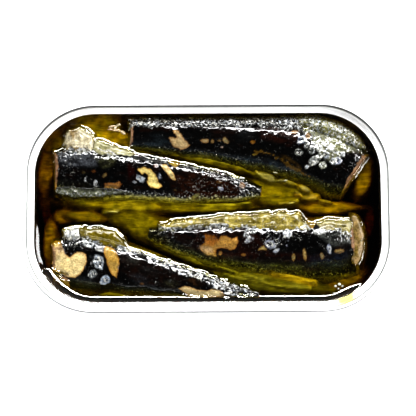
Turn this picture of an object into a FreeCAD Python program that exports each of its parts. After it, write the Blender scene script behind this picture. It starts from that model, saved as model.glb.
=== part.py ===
"""An opened sardine tin, quarter-club size: a drawn aluminium can whose peeled lid has left
its seamed rim and a narrow ledge all round, with four headless sardines in olive oil.

Millimetres. +Z up, X along the tin's length, origin on the surface it stands on, below its middle.

Pieces, one solid each
  tin_body     drawn can: wall with a little draft, rounded foot, standing ring, raised floor
               panel, and a flange hooked over into the seam
  lid_rim      what the peeled lid leaves: crest and both hooks of the seam, chuck wall and ledge
  sardine_1    back right, tail cut to the left
  sardine_2    back left, head cut to the left
  sardine_3    front right, head cut to the right
  sardine_4    front left, head cut to the left
  oil          all that is left of the can's inside, up to the oil's level, cut round the fish
"""
import FreeCAD, Part
import math
import os

V = FreeCAD.Vector

# ---------------------------------------------------------------- tin sizes
TIN_L = 105.0          # over the seam, along X
TIN_W = 60.0           # over the seam, along Y
TIN_H = 28.0           # from the standing ring to the crest of the seam
CORNER_R = 20.4        # outer corner radius of the seam, in plan
SHEET = 0.24           # thickness of the aluminium
LAYER = 0.26           # from one layer of the seam to the next
SEAM_LEN = 3.0         # height of the rolled seam
COUNTERSINK = 3.55     # from the crest down to the ledge
LEDGE_END = 2.88       # from the seam's outside to the peeled edge, in plan
LEDGE_BEAD = 0.28      # how far the ledge rises towards its peeled edge
HOOK = 1.75            # length of the body's and the cover's hooks
WALL_DRAFT = 0.55      # how much further in the wall stands at its foot
FOOT_R = 2.4           # outside radius between wall and base
RING_IN = 6.2          # where the standing ring ends and the step to the panel starts
PANEL_RISE = 0.9       # how far the floor panel stands above the ring
PANEL_IN = 7.4         # where the panel starts
BEAD_IN, BEAD_W, BEAD_RISE = 9.4, 1.3, 0.35   # one shallow expansion bead in the panel
CORE_IN = 13.0         # swept outside this, a plain plate inside it

# ---------------------------------------------------------------- contents
OIL_Z = 21.8           # level of the oil
FISH_FLOOR = 1.75      # lowest point of a fish, just above the bead
SECTION_N = 2.55       # roundness of a fish's section: 2 is an ellipse, more is boxier
SECTION_POINTS = 28
SECTIONS = 11

# Each fish: four control points of its centre line in plan, from the head cut to the tail,
# then stations (share of its length, half width, half depth, height of its top),
# and its roll about its own line in degrees (its shoulder towards the back stands higher).
FISH = {
    "sardine_1": dict(
        line=[(43.9, 9.0), (31.2, 17.7), (1.3, 21.5), (-23.3, 22.3)],
        stations=[(0.0, 8.3, 9.6, 22.9), (0.14, 10.2, 10.6, 23.3), (0.34, 9.2, 10.2, 23.4),
                  (0.62, 7.2, 9.0, 23.2), (1.0, 5.2, 6.6, 22.9)],
        roll=7.0),
    "sardine_2": dict(
        line=[(-45.6, 11.2), (-28.5, 11.9), (-2.0, 7.4), (15.7, 4.6)],
        stations=[(0.0, 7.6, 9.2, 22.7), (0.17, 9.9, 10.5, 23.3), (0.42, 8.0, 9.8, 23.4),
                  (0.76, 5.4, 7.2, 22.8), (1.0, 1.7, 3.0, 21.3)],
        roll=11.0),
    "sardine_3": dict(
        line=[(44.0, -11.3), (26.0, -12.6), (3.0, -10.6), (-17.4, -6.6)],
        stations=[(0.0, 9.0, 9.8, 22.8), (0.16, 10.6, 10.7, 23.4), (0.46, 10.0, 10.3, 23.5),
                  (0.74, 6.6, 7.8, 23.0), (1.0, 1.9, 3.0, 21.3)],
        roll=15.0),
    "sardine_4": dict(
        line=[(-46.0, -15.0), (-30.0, -14.6), (-8.0, -21.0), (14.8, -25.0)],
        stations=[(0.0, 7.4, 9.2, 22.6), (0.17, 10.5, 10.6, 23.4), (0.46, 7.9, 9.6, 23.4),
                  (0.76, 4.3, 6.6, 22.9), (1.0, 1.3, 2.6, 22.0)],
        roll=12.0),
}
FISH_GAP = 0.15        # room left between one fish and the next, and between a fish and the tin


# ---------------------------------------------------------------- profile tools
def fillet_wire(points, radii, place, closed=True):
    """A wire of lines and tangent arcs through points (u, v), with a radius at each."""
    n = len(points)
    corners = []
    for i, (p, r) in enumerate(zip(points, radii)):
        p = V(p[0], p[1], 0)
        if not closed and i in (0, n - 1):
            corners.append((p, p, None))
            continue
        a = V(*points[i - 1], 0) - p
        b = V(*points[(i + 1) % n], 0) - p
        a.normalize()
        b.normalize()
        half = math.acos(max(-1.0, min(1.0, a.dot(b)))) / 2
        if r < 1e-6 or abs(half - math.pi / 2) < 1e-4:
            corners.append((p, p, None))
            continue
        back = r / math.tan(half)
        bis = a + b
        bis.normalize()
        mid = p + bis * (r / math.sin(half) - r)
        corners.append((p + a * back, p + b * back, mid))
    edges = []
    for i, (start, end, mid) in enumerate(corners):
        if mid is not None:
            edges.append(Part.Arc(place(start), place(mid), place(end)).toShape())
        if i == n - 1 and not closed:
            break
        nxt = corners[(i + 1) % n][0]
        if (nxt - end).Length > 1e-6:
            edges.append(Part.LineSegment(place(end), place(nxt)).toShape())
    return Part.Wire(edges)


def sheet_outline(points, radii, t):
    """Closed outline, with radii, of a sheet of thickness t bent along points (u, v)."""
    def side(h):
        lines = []
        for p, q in zip(points[:-1], points[1:]):
            d = V(q[0] - p[0], q[1] - p[1], 0)
            d.normalize()
            nrm = V(-d.y, d.x, 0) * h
            lines.append((V(p[0], p[1], 0) + nrm, V(q[0], q[1], 0) + nrm, d))
        out, rad = [(lines[0][0].x, lines[0][0].y)], [0.0]
        for (p0, p1, d0), (q0, q1, d1), r in zip(lines[:-1], lines[1:], radii[1:-1]):
            cross = d0.x * d1.y - d0.y * d1.x
            w = q0 - p0
            s = (w.x * d1.y - w.y * d1.x) / cross
            x = p0 + d0 * s
            out.append((x.x, x.y))
            rad.append(max(0.0, r - h * math.copysign(1, cross)))
        out.append((lines[-1][1].x, lines[-1][1].y))
        rad.append(0.0)
        return out, rad
    a, ra = side(t / 2)
    b, rb = side(-t / 2)
    return a + b[::-1], ra + rb[::-1]


def sweep(points, radii):
    """Sweeps a closed outline, given as (distance in from the seam's outside, height), round the
    tin's rounded oblong: a quarter turn at each corner and a straight run along each side."""
    cx, cy = TIN_L / 2 - CORNER_R, TIN_W / 2 - CORNER_R
    solids = []
    for k, (sx, sy) in enumerate([(1, 1), (-1, 1), (-1, -1), (1, -1)]):
        c = V(sx * cx, sy * cy, 0)
        a0 = math.radians(90 * k)

        def place(p, a=a0, c=c):
            r = CORNER_R - p.x
            return V(c.x + r * math.cos(a), c.y + r * math.sin(a), p.y)
        face = Part.Face(fillet_wire(points, radii, place))
        solids.append(face.revolve(c, V(0, 0, 1), 90))
        a1 = a0 + math.pi / 2
        end = Part.Face(fillet_wire(points, radii, lambda p, a=a1, c=c: place(p, a, c)))
        run = V(-math.sin(a1), math.cos(a1), 0)
        length = 2 * (cx if k % 2 == 0 else cy)
        solids.append(end.extrude(run * length))
    return one(solids[0].multiFuse(solids[1:]))


def slab(inset, z0, z1):
    """A rounded oblong prism whose side stands inset mm in from the seam's outside."""
    hx, hy, r = TIN_L / 2 - inset, TIN_W / 2 - inset, CORNER_R - inset
    pts = [(-hx, -hy), (hx, -hy), (hx, hy), (-hx, hy)]
    wire = fillet_wire(pts, [r] * 4, lambda p: V(p.x, p.y, z0))
    return Part.Face(wire).extrude(V(0, 0, z1 - z0))


def one(shape):
    """The single solid of a shape, its split faces joined."""
    shape = shape.removeSplitter()
    solids = shape.Solids
    if len(solids) != 1:
        solids = sorted(solids, key=lambda s: -s.Volume)
        print("   note: kept the largest of", [round(s.Volume, 3) for s in solids])
    return solids[0]


# ---------------------------------------------------------------- tin
D_COVER = SHEET / 2                    # middle of each layer of the seam, from outside inwards
D_BODY_HOOK = D_COVER + LAYER
D_COVER_HOOK = D_BODY_HOOK + LAYER
D_WALL = D_COVER_HOOK + LAYER
D_CHUCK = D_WALL + LAYER
Z_CREST = TIN_H - SHEET / 2
Z_LEDGE = TIN_H - COUNTERSINK


def wall_profile():
    """Middle line of the drawn can, from its hook over the seam down to the floor panel."""
    z0 = SHEET / 2
    turn = LAYER * 0.999
    return ([(D_BODY_HOOK, TIN_H - 0.62 - HOOK), (D_BODY_HOOK, TIN_H - 0.62), (D_WALL, TIN_H - 0.62),
             (D_WALL, TIN_H - SEAM_LEN - 1.4), (D_WALL + WALL_DRAFT, z0),
             (RING_IN, z0), (PANEL_IN, z0 + PANEL_RISE),
             (BEAD_IN, z0 + PANEL_RISE), (BEAD_IN + BEAD_W / 2, z0 + PANEL_RISE + BEAD_RISE),
             (BEAD_IN + BEAD_W, z0 + PANEL_RISE), (CORE_IN, z0 + PANEL_RISE)],
            [0, turn, turn, 6.0, FOOT_R, 0.8, 0.8, 0.9, 0.5, 0.9, 0])


def tin_body():
    pts, rad = wall_profile()
    ring = sweep(*sheet_outline(pts, rad, SHEET))
    return one(ring.fuse(slab(CORE_IN, PANEL_RISE, PANEL_RISE + SHEET)))


def lid_rim():
    end = (LEDGE_END, Z_LEDGE + LEDGE_BEAD)
    pts = [end, (D_CHUCK + 0.95, Z_LEDGE + LEDGE_BEAD * 0.75), (D_CHUCK + 0.12, Z_LEDGE - 0.2),
           (D_CHUCK, Z_CREST), (D_COVER, Z_CREST),
           (D_COVER, TIN_H - SEAM_LEN + SHEET / 2), (D_COVER_HOOK, TIN_H - SEAM_LEN + SHEET / 2),
           (D_COVER_HOOK, TIN_H - SEAM_LEN + HOOK)]
    turn = (D_COVER_HOOK - D_COVER) / 2 * 0.999
    crest = (D_CHUCK - D_COVER) / 2 * 0.96
    rad = [0, 0.7, 0.34, crest, crest, turn, turn, 0]
    return sweep(*sheet_outline(pts, rad, SHEET))


def cavity(top, gap=0.0):
    """Everything inside the can up to a height, gap mm clear of it."""
    pts, rad = wall_profile()
    outline, radii = sheet_outline(pts[3:], rad[3:], SHEET + 2 * gap)
    k = len(pts[3:])
    inner, inner_r = outline[:k], radii[:k]    # the sheet's side that faces the contents
    if top < inner[0][1]:                      # the sloping wall, cut off at that height
        (d0, z0), (d1, z1) = inner[:2]
        pts2 = [(d0 + (d1 - d0) * (z0 - top) / (z0 - z1), top)] + inner[1:] + [(CORE_IN, top)]
        rad2 = [0] + inner_r[1:] + [0]
    else:
        pts2 = [(inner[0][0], top)] + inner + [(CORE_IN, top)]
        rad2 = [0, 0] + inner_r[1:] + [0]
    ring = sweep(pts2, rad2)
    return one(ring.fuse(slab(CORE_IN, inner[-1][1], top)))


# ---------------------------------------------------------------- fish
def bezier(line, t):
    (a, b, c, d) = [V(x, y, 0) for x, y in line]
    s = 1 - t
    p = a * s**3 + b * (3 * s * s * t) + c * (3 * s * t * t) + d * t**3
    q = (b - a) * (3 * s * s) + (c - b) * (6 * s * t) + (d - c) * (3 * t * t)
    q.normalize()
    return p, q


def station(stations, t):
    """Half width, half depth and top at a share of the length, by a smooth monotone curve."""
    xs = [s[0] for s in stations]
    out = []
    for k in (1, 2, 3):
        ys = [s[k] for s in stations]
        n = len(xs)
        slopes = [(ys[i + 1] - ys[i]) / (xs[i + 1] - xs[i]) for i in range(n - 1)]
        m = [slopes[0]] + [0.0 if slopes[i - 1] * slopes[i] <= 0 else
                           2 * slopes[i - 1] * slopes[i] / (slopes[i - 1] + slopes[i])
                           for i in range(1, n - 1)] + [slopes[-1]]
        i = max(j for j in range(n - 1) if xs[j] <= t or j == 0)
        h = xs[i + 1] - xs[i]
        u = (t - xs[i]) / h
        out.append(ys[i] * (1 + 2 * u) * (1 - u) ** 2 + m[i] * h * u * (1 - u) ** 2
                   + ys[i + 1] * u * u * (3 - 2 * u) + m[i + 1] * h * u * u * (u - 1))
    return out


def section(fish, t):
    """Points round a fish's section at a share t of its length: a superellipse, rolled over so
    that one shoulder stands higher, its highest point at the station's top."""
    p, along = bezier(fish["line"], t)
    half_w, half_d, top = station(fish["stations"], t)
    side = V(-along.y, along.x, 0)
    if side.y < 0:
        side = side * -1                       # always towards the back of the tin
    roll = math.radians(fish["roll"])
    ring = []
    for k in range(SECTION_POINTS):
        a = 2 * math.pi * k / SECTION_POINTS
        u = half_w * math.copysign(abs(math.cos(a)) ** (2 / SECTION_N), math.cos(a))
        v = half_d * math.copysign(abs(math.sin(a)) ** (2 / SECTION_N), math.sin(a))
        ring.append((u * math.cos(roll) - v * math.sin(roll), u * math.sin(roll) + v * math.cos(roll)))
    high, low = max(v for _, v in ring), min(v for _, v in ring)
    wide = (max(u for u, _ in ring) + min(u for u, _ in ring)) / 2
    squeeze = min(1.0, (top - FISH_FLOOR) / (high - low))      # it rests on the floor of the can
    return [p + side * (u - wide) + V(0, 0, top + (v - high) * squeeze) for u, v in ring]


def sardine(name):
    wires = []
    for k in range(SECTIONS):
        curve = Part.BSplineCurve()
        curve.interpolate(Points=section(FISH[name], k / (SECTIONS - 1)), PeriodicFlag=True)
        wires.append(Part.Wire(curve.toShape()))
    return Part.makeLoft(wires, True, False, False)


def build():
    os.makedirs("parts", exist_ok=True)
    shapes = {"tin_body": tin_body(), "lid_rim": lid_rim()}
    room = cavity(TIN_H, FISH_GAP)
    fish = {}
    for name in FISH:
        solid = one(sardine(name).common(room))
        for other in fish.values():            # where two fish press together, the later one gives
            if solid.common(other).Volume > 1e-6:
                solid = one(solid.cut(other))
        fish[name] = solid
    oil = cavity(OIL_Z)
    for solid in fish.values():
        oil = oil.cut(solid)
    shapes.update(fish)
    shapes["oil"] = max(oil.Solids, key=lambda s: s.Volume)    # its faces stay as they were cut
    for name, shape in shapes.items():
        bb = shape.BoundBox
        print(f"{name:10s} valid={shape.isValid()} solids={len(shape.Solids)} faces={len(shape.Faces)} "
              f"vol={shape.Volume:.1f} x[{bb.XMin:.2f},{bb.XMax:.2f}] y[{bb.YMin:.2f},{bb.YMax:.2f}] z[{bb.ZMin:.2f},{bb.ZMax:.2f}]")
        shape.exportStep(os.path.join("parts", name + ".step"))


build()
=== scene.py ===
import math
import bpy
import numpy as np
from mathutils import Matrix, Vector
from mathutils.bvhtree import BVHTree
from mathutils.kdtree import KDTree


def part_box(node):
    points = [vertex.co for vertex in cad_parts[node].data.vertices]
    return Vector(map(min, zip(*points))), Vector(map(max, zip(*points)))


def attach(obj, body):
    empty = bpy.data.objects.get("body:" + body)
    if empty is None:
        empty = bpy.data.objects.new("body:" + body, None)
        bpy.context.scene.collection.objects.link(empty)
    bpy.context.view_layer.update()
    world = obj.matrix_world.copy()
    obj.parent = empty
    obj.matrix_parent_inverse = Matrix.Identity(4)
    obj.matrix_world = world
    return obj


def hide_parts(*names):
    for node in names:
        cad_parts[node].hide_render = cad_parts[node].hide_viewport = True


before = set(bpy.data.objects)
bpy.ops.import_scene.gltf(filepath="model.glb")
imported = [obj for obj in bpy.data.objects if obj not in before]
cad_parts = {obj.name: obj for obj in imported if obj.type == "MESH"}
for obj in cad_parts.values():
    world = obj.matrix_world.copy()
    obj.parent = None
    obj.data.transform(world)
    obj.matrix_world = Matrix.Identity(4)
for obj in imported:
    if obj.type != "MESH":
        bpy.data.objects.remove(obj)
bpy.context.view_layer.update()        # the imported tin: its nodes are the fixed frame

MM = 0.001
scene = bpy.context.scene

# ------------------------------------------------------------------ sizes, in millimetres
rim_lo, rim_hi = [np.array(v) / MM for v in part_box("lid_rim")]
oil_lo, oil_hi = [np.array(v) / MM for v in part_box("oil")]
HALF_X, HALF_Y, TOP_Z = rim_hi            # over the seam, and the crest
OIL_Z = oil_hi[2]                         # level of the oil
CORNER_R = 20.4 * HALF_X / 52.5
WALL_IN = HALF_X - oil_hi[0]              # from the seam's outside to the wall's inner face
LEDGE_END, LEDGE_Z = 2.88, rim_lo[2] + 0.0
INTO_WALL = 0.09


# ------------------------------------------------------------------ noise and shape tools
def _hash(ix, iy, iz, seed):
    n = (ix.astype(np.int64) * 374761393 + iy.astype(np.int64) * 668265263
         + iz.astype(np.int64) * 1440662683 + seed * 1274126177) & 0xFFFFFFFF
    n = ((n ^ (n >> 13)) * 1274126177) & 0xFFFFFFFF
    n = ((n ^ (n >> 15)) * 2246822519) & 0xFFFFFFFF
    return ((n ^ (n >> 16)) & 0xFFFFFF) / float(0xFFFFFF) * 2 - 1


def noise(p, seed=0):
    """Smooth value noise, -1 to 1, at points p (n, 3) on a unit lattice."""
    i = np.floor(p).astype(np.int64)
    f = p - i
    w = f * f * f * (f * (f * 6 - 15) + 10)
    out = 0
    for dx in (0, 1):
        for dy in (0, 1):
            for dz in (0, 1):
                k = ((w[:, 0] if dx else 1 - w[:, 0]) * (w[:, 1] if dy else 1 - w[:, 1])
                     * (w[:, 2] if dz else 1 - w[:, 2]))
                out = out + k * _hash(i[:, 0] + dx, i[:, 1] + dy, i[:, 2] + dz, seed)
    return out


def fbm(p, size, octaves=3, seed=0, gain=0.55):
    """Noise of several sizes, the largest about size mm across. About -1 to 1."""
    q, out, a, total = p / size, 0, 1.0, 0.0
    for k in range(octaves):
        out = out + a * noise(q * 2.03 ** k + 17.3 * k, seed + k)
        total += a
        a *= gain
    return out / total * 1.6


def step(a, b, x):
    t = np.clip((x - a) / (b - a), 0, 1)
    return t * t * (3 - 2 * t)


def mixc(c, d, w):
    """Colour c turned into d by weight w."""
    return c * (1 - w[:, None]) + np.asarray(d) * w[:, None]


def sdf_poly(x, y, pts):
    """Signed distance to a closed outline, negative inside."""
    d = np.full(x.shape, 1e9)
    inside = np.zeros(x.shape, bool)
    n = len(pts)
    for i in range(n):
        (ax, ay), (bx, by) = pts[i - 1], pts[i]
        ex, ey = bx - ax, by - ay
        wx, wy = x - ax, y - ay
        t = np.clip((wx * ex + wy * ey) / (ex * ex + ey * ey + 1e-12), 0, 1)
        d = np.minimum(d, (wx - ex * t) ** 2 + (wy - ey * t) ** 2)
        cond = ((ay > y) != (by > y)) & (x < (bx - ax) * (y - ay) / ((by - ay) if by != ay else 1e-12) + ax)
        inside ^= cond
    d = np.sqrt(d)
    return np.where(inside, -d, d)


def sdf_line(x, y, pts, half):
    """Signed distance to a line of half width half, and the share of its length at the nearest point."""
    d = np.full(x.shape, 1e9)
    share = np.zeros(x.shape)
    lens = [math.dist(a, b) for a, b in zip(pts[:-1], pts[1:])]
    total, run = sum(lens), 0.0
    for (ax, ay), (bx, by), ln in zip(pts[:-1], pts[1:], lens):
        ex, ey = bx - ax, by - ay
        wx, wy = x - ax, y - ay
        t = np.clip((wx * ex + wy * ey) / (ex * ex + ey * ey + 1e-12), 0, 1)
        e = np.hypot(wx - ex * t, wy - ey * t)
        near = e < d
        d = np.where(near, e, d)
        share = np.where(near, (run + t * ln) / total, share)
        run += ln
    taper = np.clip(np.minimum(share, 1 - share) * 6, 0.25, 1)
    return d - half * taper


def sdf_spot(x, y, cx, cy, rx, ry, ang=0.0):
    a = math.radians(ang)
    dx, dy = x - cx, y - cy
    u, v = dx * math.cos(a) + dy * math.sin(a), -dx * math.sin(a) + dy * math.cos(a)
    k = np.sqrt((u / rx) ** 2 + (v / ry) ** 2)
    return (k - 1) * min(rx, ry)


def make_mesh(name, co, faces, attrs=None, colours=None, smooth=True):
    """An object from points in millimetres."""
    me = bpy.data.meshes.new(name)
    me.from_pydata((np.asarray(co) * MM).tolist(), [], faces)
    me.update()
    if smooth:
        me.polygons.foreach_set("use_smooth", np.ones(len(me.polygons), bool))
    for k, v in (attrs or {}).items():
        a = me.attributes.new(k, "FLOAT", "POINT")
        a.data.foreach_set("value", np.asarray(v, np.float32))
    for k, v in (colours or {}).items():
        a = me.attributes.new(k, "FLOAT_COLOR", "POINT")
        rgba = np.ones((len(co), 4), np.float32)
        rgba[:, :3] = np.clip(v, 0, 1)
        a.data.foreach_set("color", rgba.ravel())
    ob = bpy.data.objects.new(name, me)
    scene.collection.objects.link(ob)
    return ob


def oblong_sdf(x, y, inset):
    """Signed distance to the tin's rounded outline, inset mm in from the seam's outside."""
    hx, hy, r = HALF_X - inset, HALF_Y - inset, CORNER_R - inset
    qx, qy = np.abs(x) - (hx - r), np.abs(y) - (hy - r)
    return np.hypot(np.maximum(qx, 0), np.maximum(qy, 0)) + np.minimum(np.maximum(qx, qy), 0) - r


# ------------------------------------------------------------------ node helpers
class Nodes:
    """Short calls for building a material."""
    def __init__(self, name):
        self.mat = bpy.data.materials.new(name)
        self.mat.use_nodes = True
        self.t = self.mat.node_tree
        self.t.nodes.clear()
        self.out = self.t.nodes.new("ShaderNodeOutputMaterial")

    def new(self, kind, **props):
        n = self.t.nodes.new(kind)
        for k, v in props.items():
            setattr(n, k, v)
        return n

    def put(self, socket, value):
        if isinstance(value, bpy.types.NodeSocket):
            self.t.links.new(value, socket)
        else:
            socket.default_value = value

    def attr(self, name, out="Fac"):
        return self.new("ShaderNodeAttribute", attribute_name=name).outputs[out]

    def coords(self):
        return self.new("ShaderNodeTexCoord").outputs["Object"]

    def mapping(self, vec, scale=(1, 1, 1), rot=(0, 0, 0)):
        n = self.new("ShaderNodeMapping")
        self.put(n.inputs["Vector"], vec)
        n.inputs["Scale"].default_value = scale
        n.inputs["Rotation"].default_value = rot
        return n.outputs[0]

    def noise(self, vec, scale, detail=3.0, rough=0.55, distort=0.0, out="Fac"):
        n = self.new("ShaderNodeTexNoise")
        self.put(n.inputs["Vector"], vec)
        n.inputs["Scale"].default_value = scale
        n.inputs["Detail"].default_value = detail
        n.inputs["Roughness"].default_value = rough
        n.inputs["Distortion"].default_value = distort
        return n.outputs[out]

    def voronoi(self, vec, scale, feature="F1", out="Distance", rand=1.0):
        n = self.new("ShaderNodeTexVoronoi", feature=feature)
        self.put(n.inputs["Vector"], vec)
        n.inputs["Scale"].default_value = scale
        n.inputs["Randomness"].default_value = rand
        return n.outputs[out]

    def math(self, op, a, b=0.0, c=0.0, clamp=False):
        n = self.new("ShaderNodeMath", operation=op, use_clamp=clamp)
        self.put(n.inputs[0], a)
        self.put(n.inputs[1], b)
        self.put(n.inputs[2], c)
        return n.outputs[0]

    def ramp(self, fac, *stops, mode="LINEAR"):
        n = self.new("ShaderNodeValToRGB")
        self.put(n.inputs[0], fac)
        cr = n.color_ramp
        cr.interpolation = mode
        while len(cr.elements) < len(stops):
            cr.elements.new(0.5)
        for e, (pos, col) in zip(cr.elements, stops):
            e.position = pos
            e.color = (col, col, col, 1) if isinstance(col, (int, float)) else (*col, 1)
        return n.outputs[0]

    def range(self, v, a, b, c=0.0, d=1.0, smooth=False):
        n = self.new("ShaderNodeMapRange", interpolation_type="SMOOTHSTEP" if smooth else "LINEAR")
        self.put(n.inputs[0], v)
        for i, k in zip((1, 2, 3, 4), (a, b, c, d)):
            n.inputs[i].default_value = k
        return n.outputs[0]

    def mix(self, fac, a, b, blend="MIX"):
        n = self.new("ShaderNodeMix", data_type="RGBA", blend_type=blend)
        self.put(n.inputs[0], fac)
        for i, k in ((6, a), (7, b)):
            self.put(n.inputs[i], (*k, 1) if isinstance(k, tuple) and len(k) == 3 else k)
        return n.outputs[2]

    def bump(self, height, strength, dist, normal=None):
        n = self.new("ShaderNodeBump")
        self.put(n.inputs["Height"], height)
        n.inputs["Strength"].default_value = strength
        n.inputs["Distance"].default_value = dist
        if normal is not None:
            self.put(n.inputs["Normal"], normal)
        return n.outputs[0]

    def principled(self, **kw):
        n = self.new("ShaderNodeBsdfPrincipled")
        for k, v in kw.items():
            self.put(n.inputs[k.replace("_", " ")], v)
        return n


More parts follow.
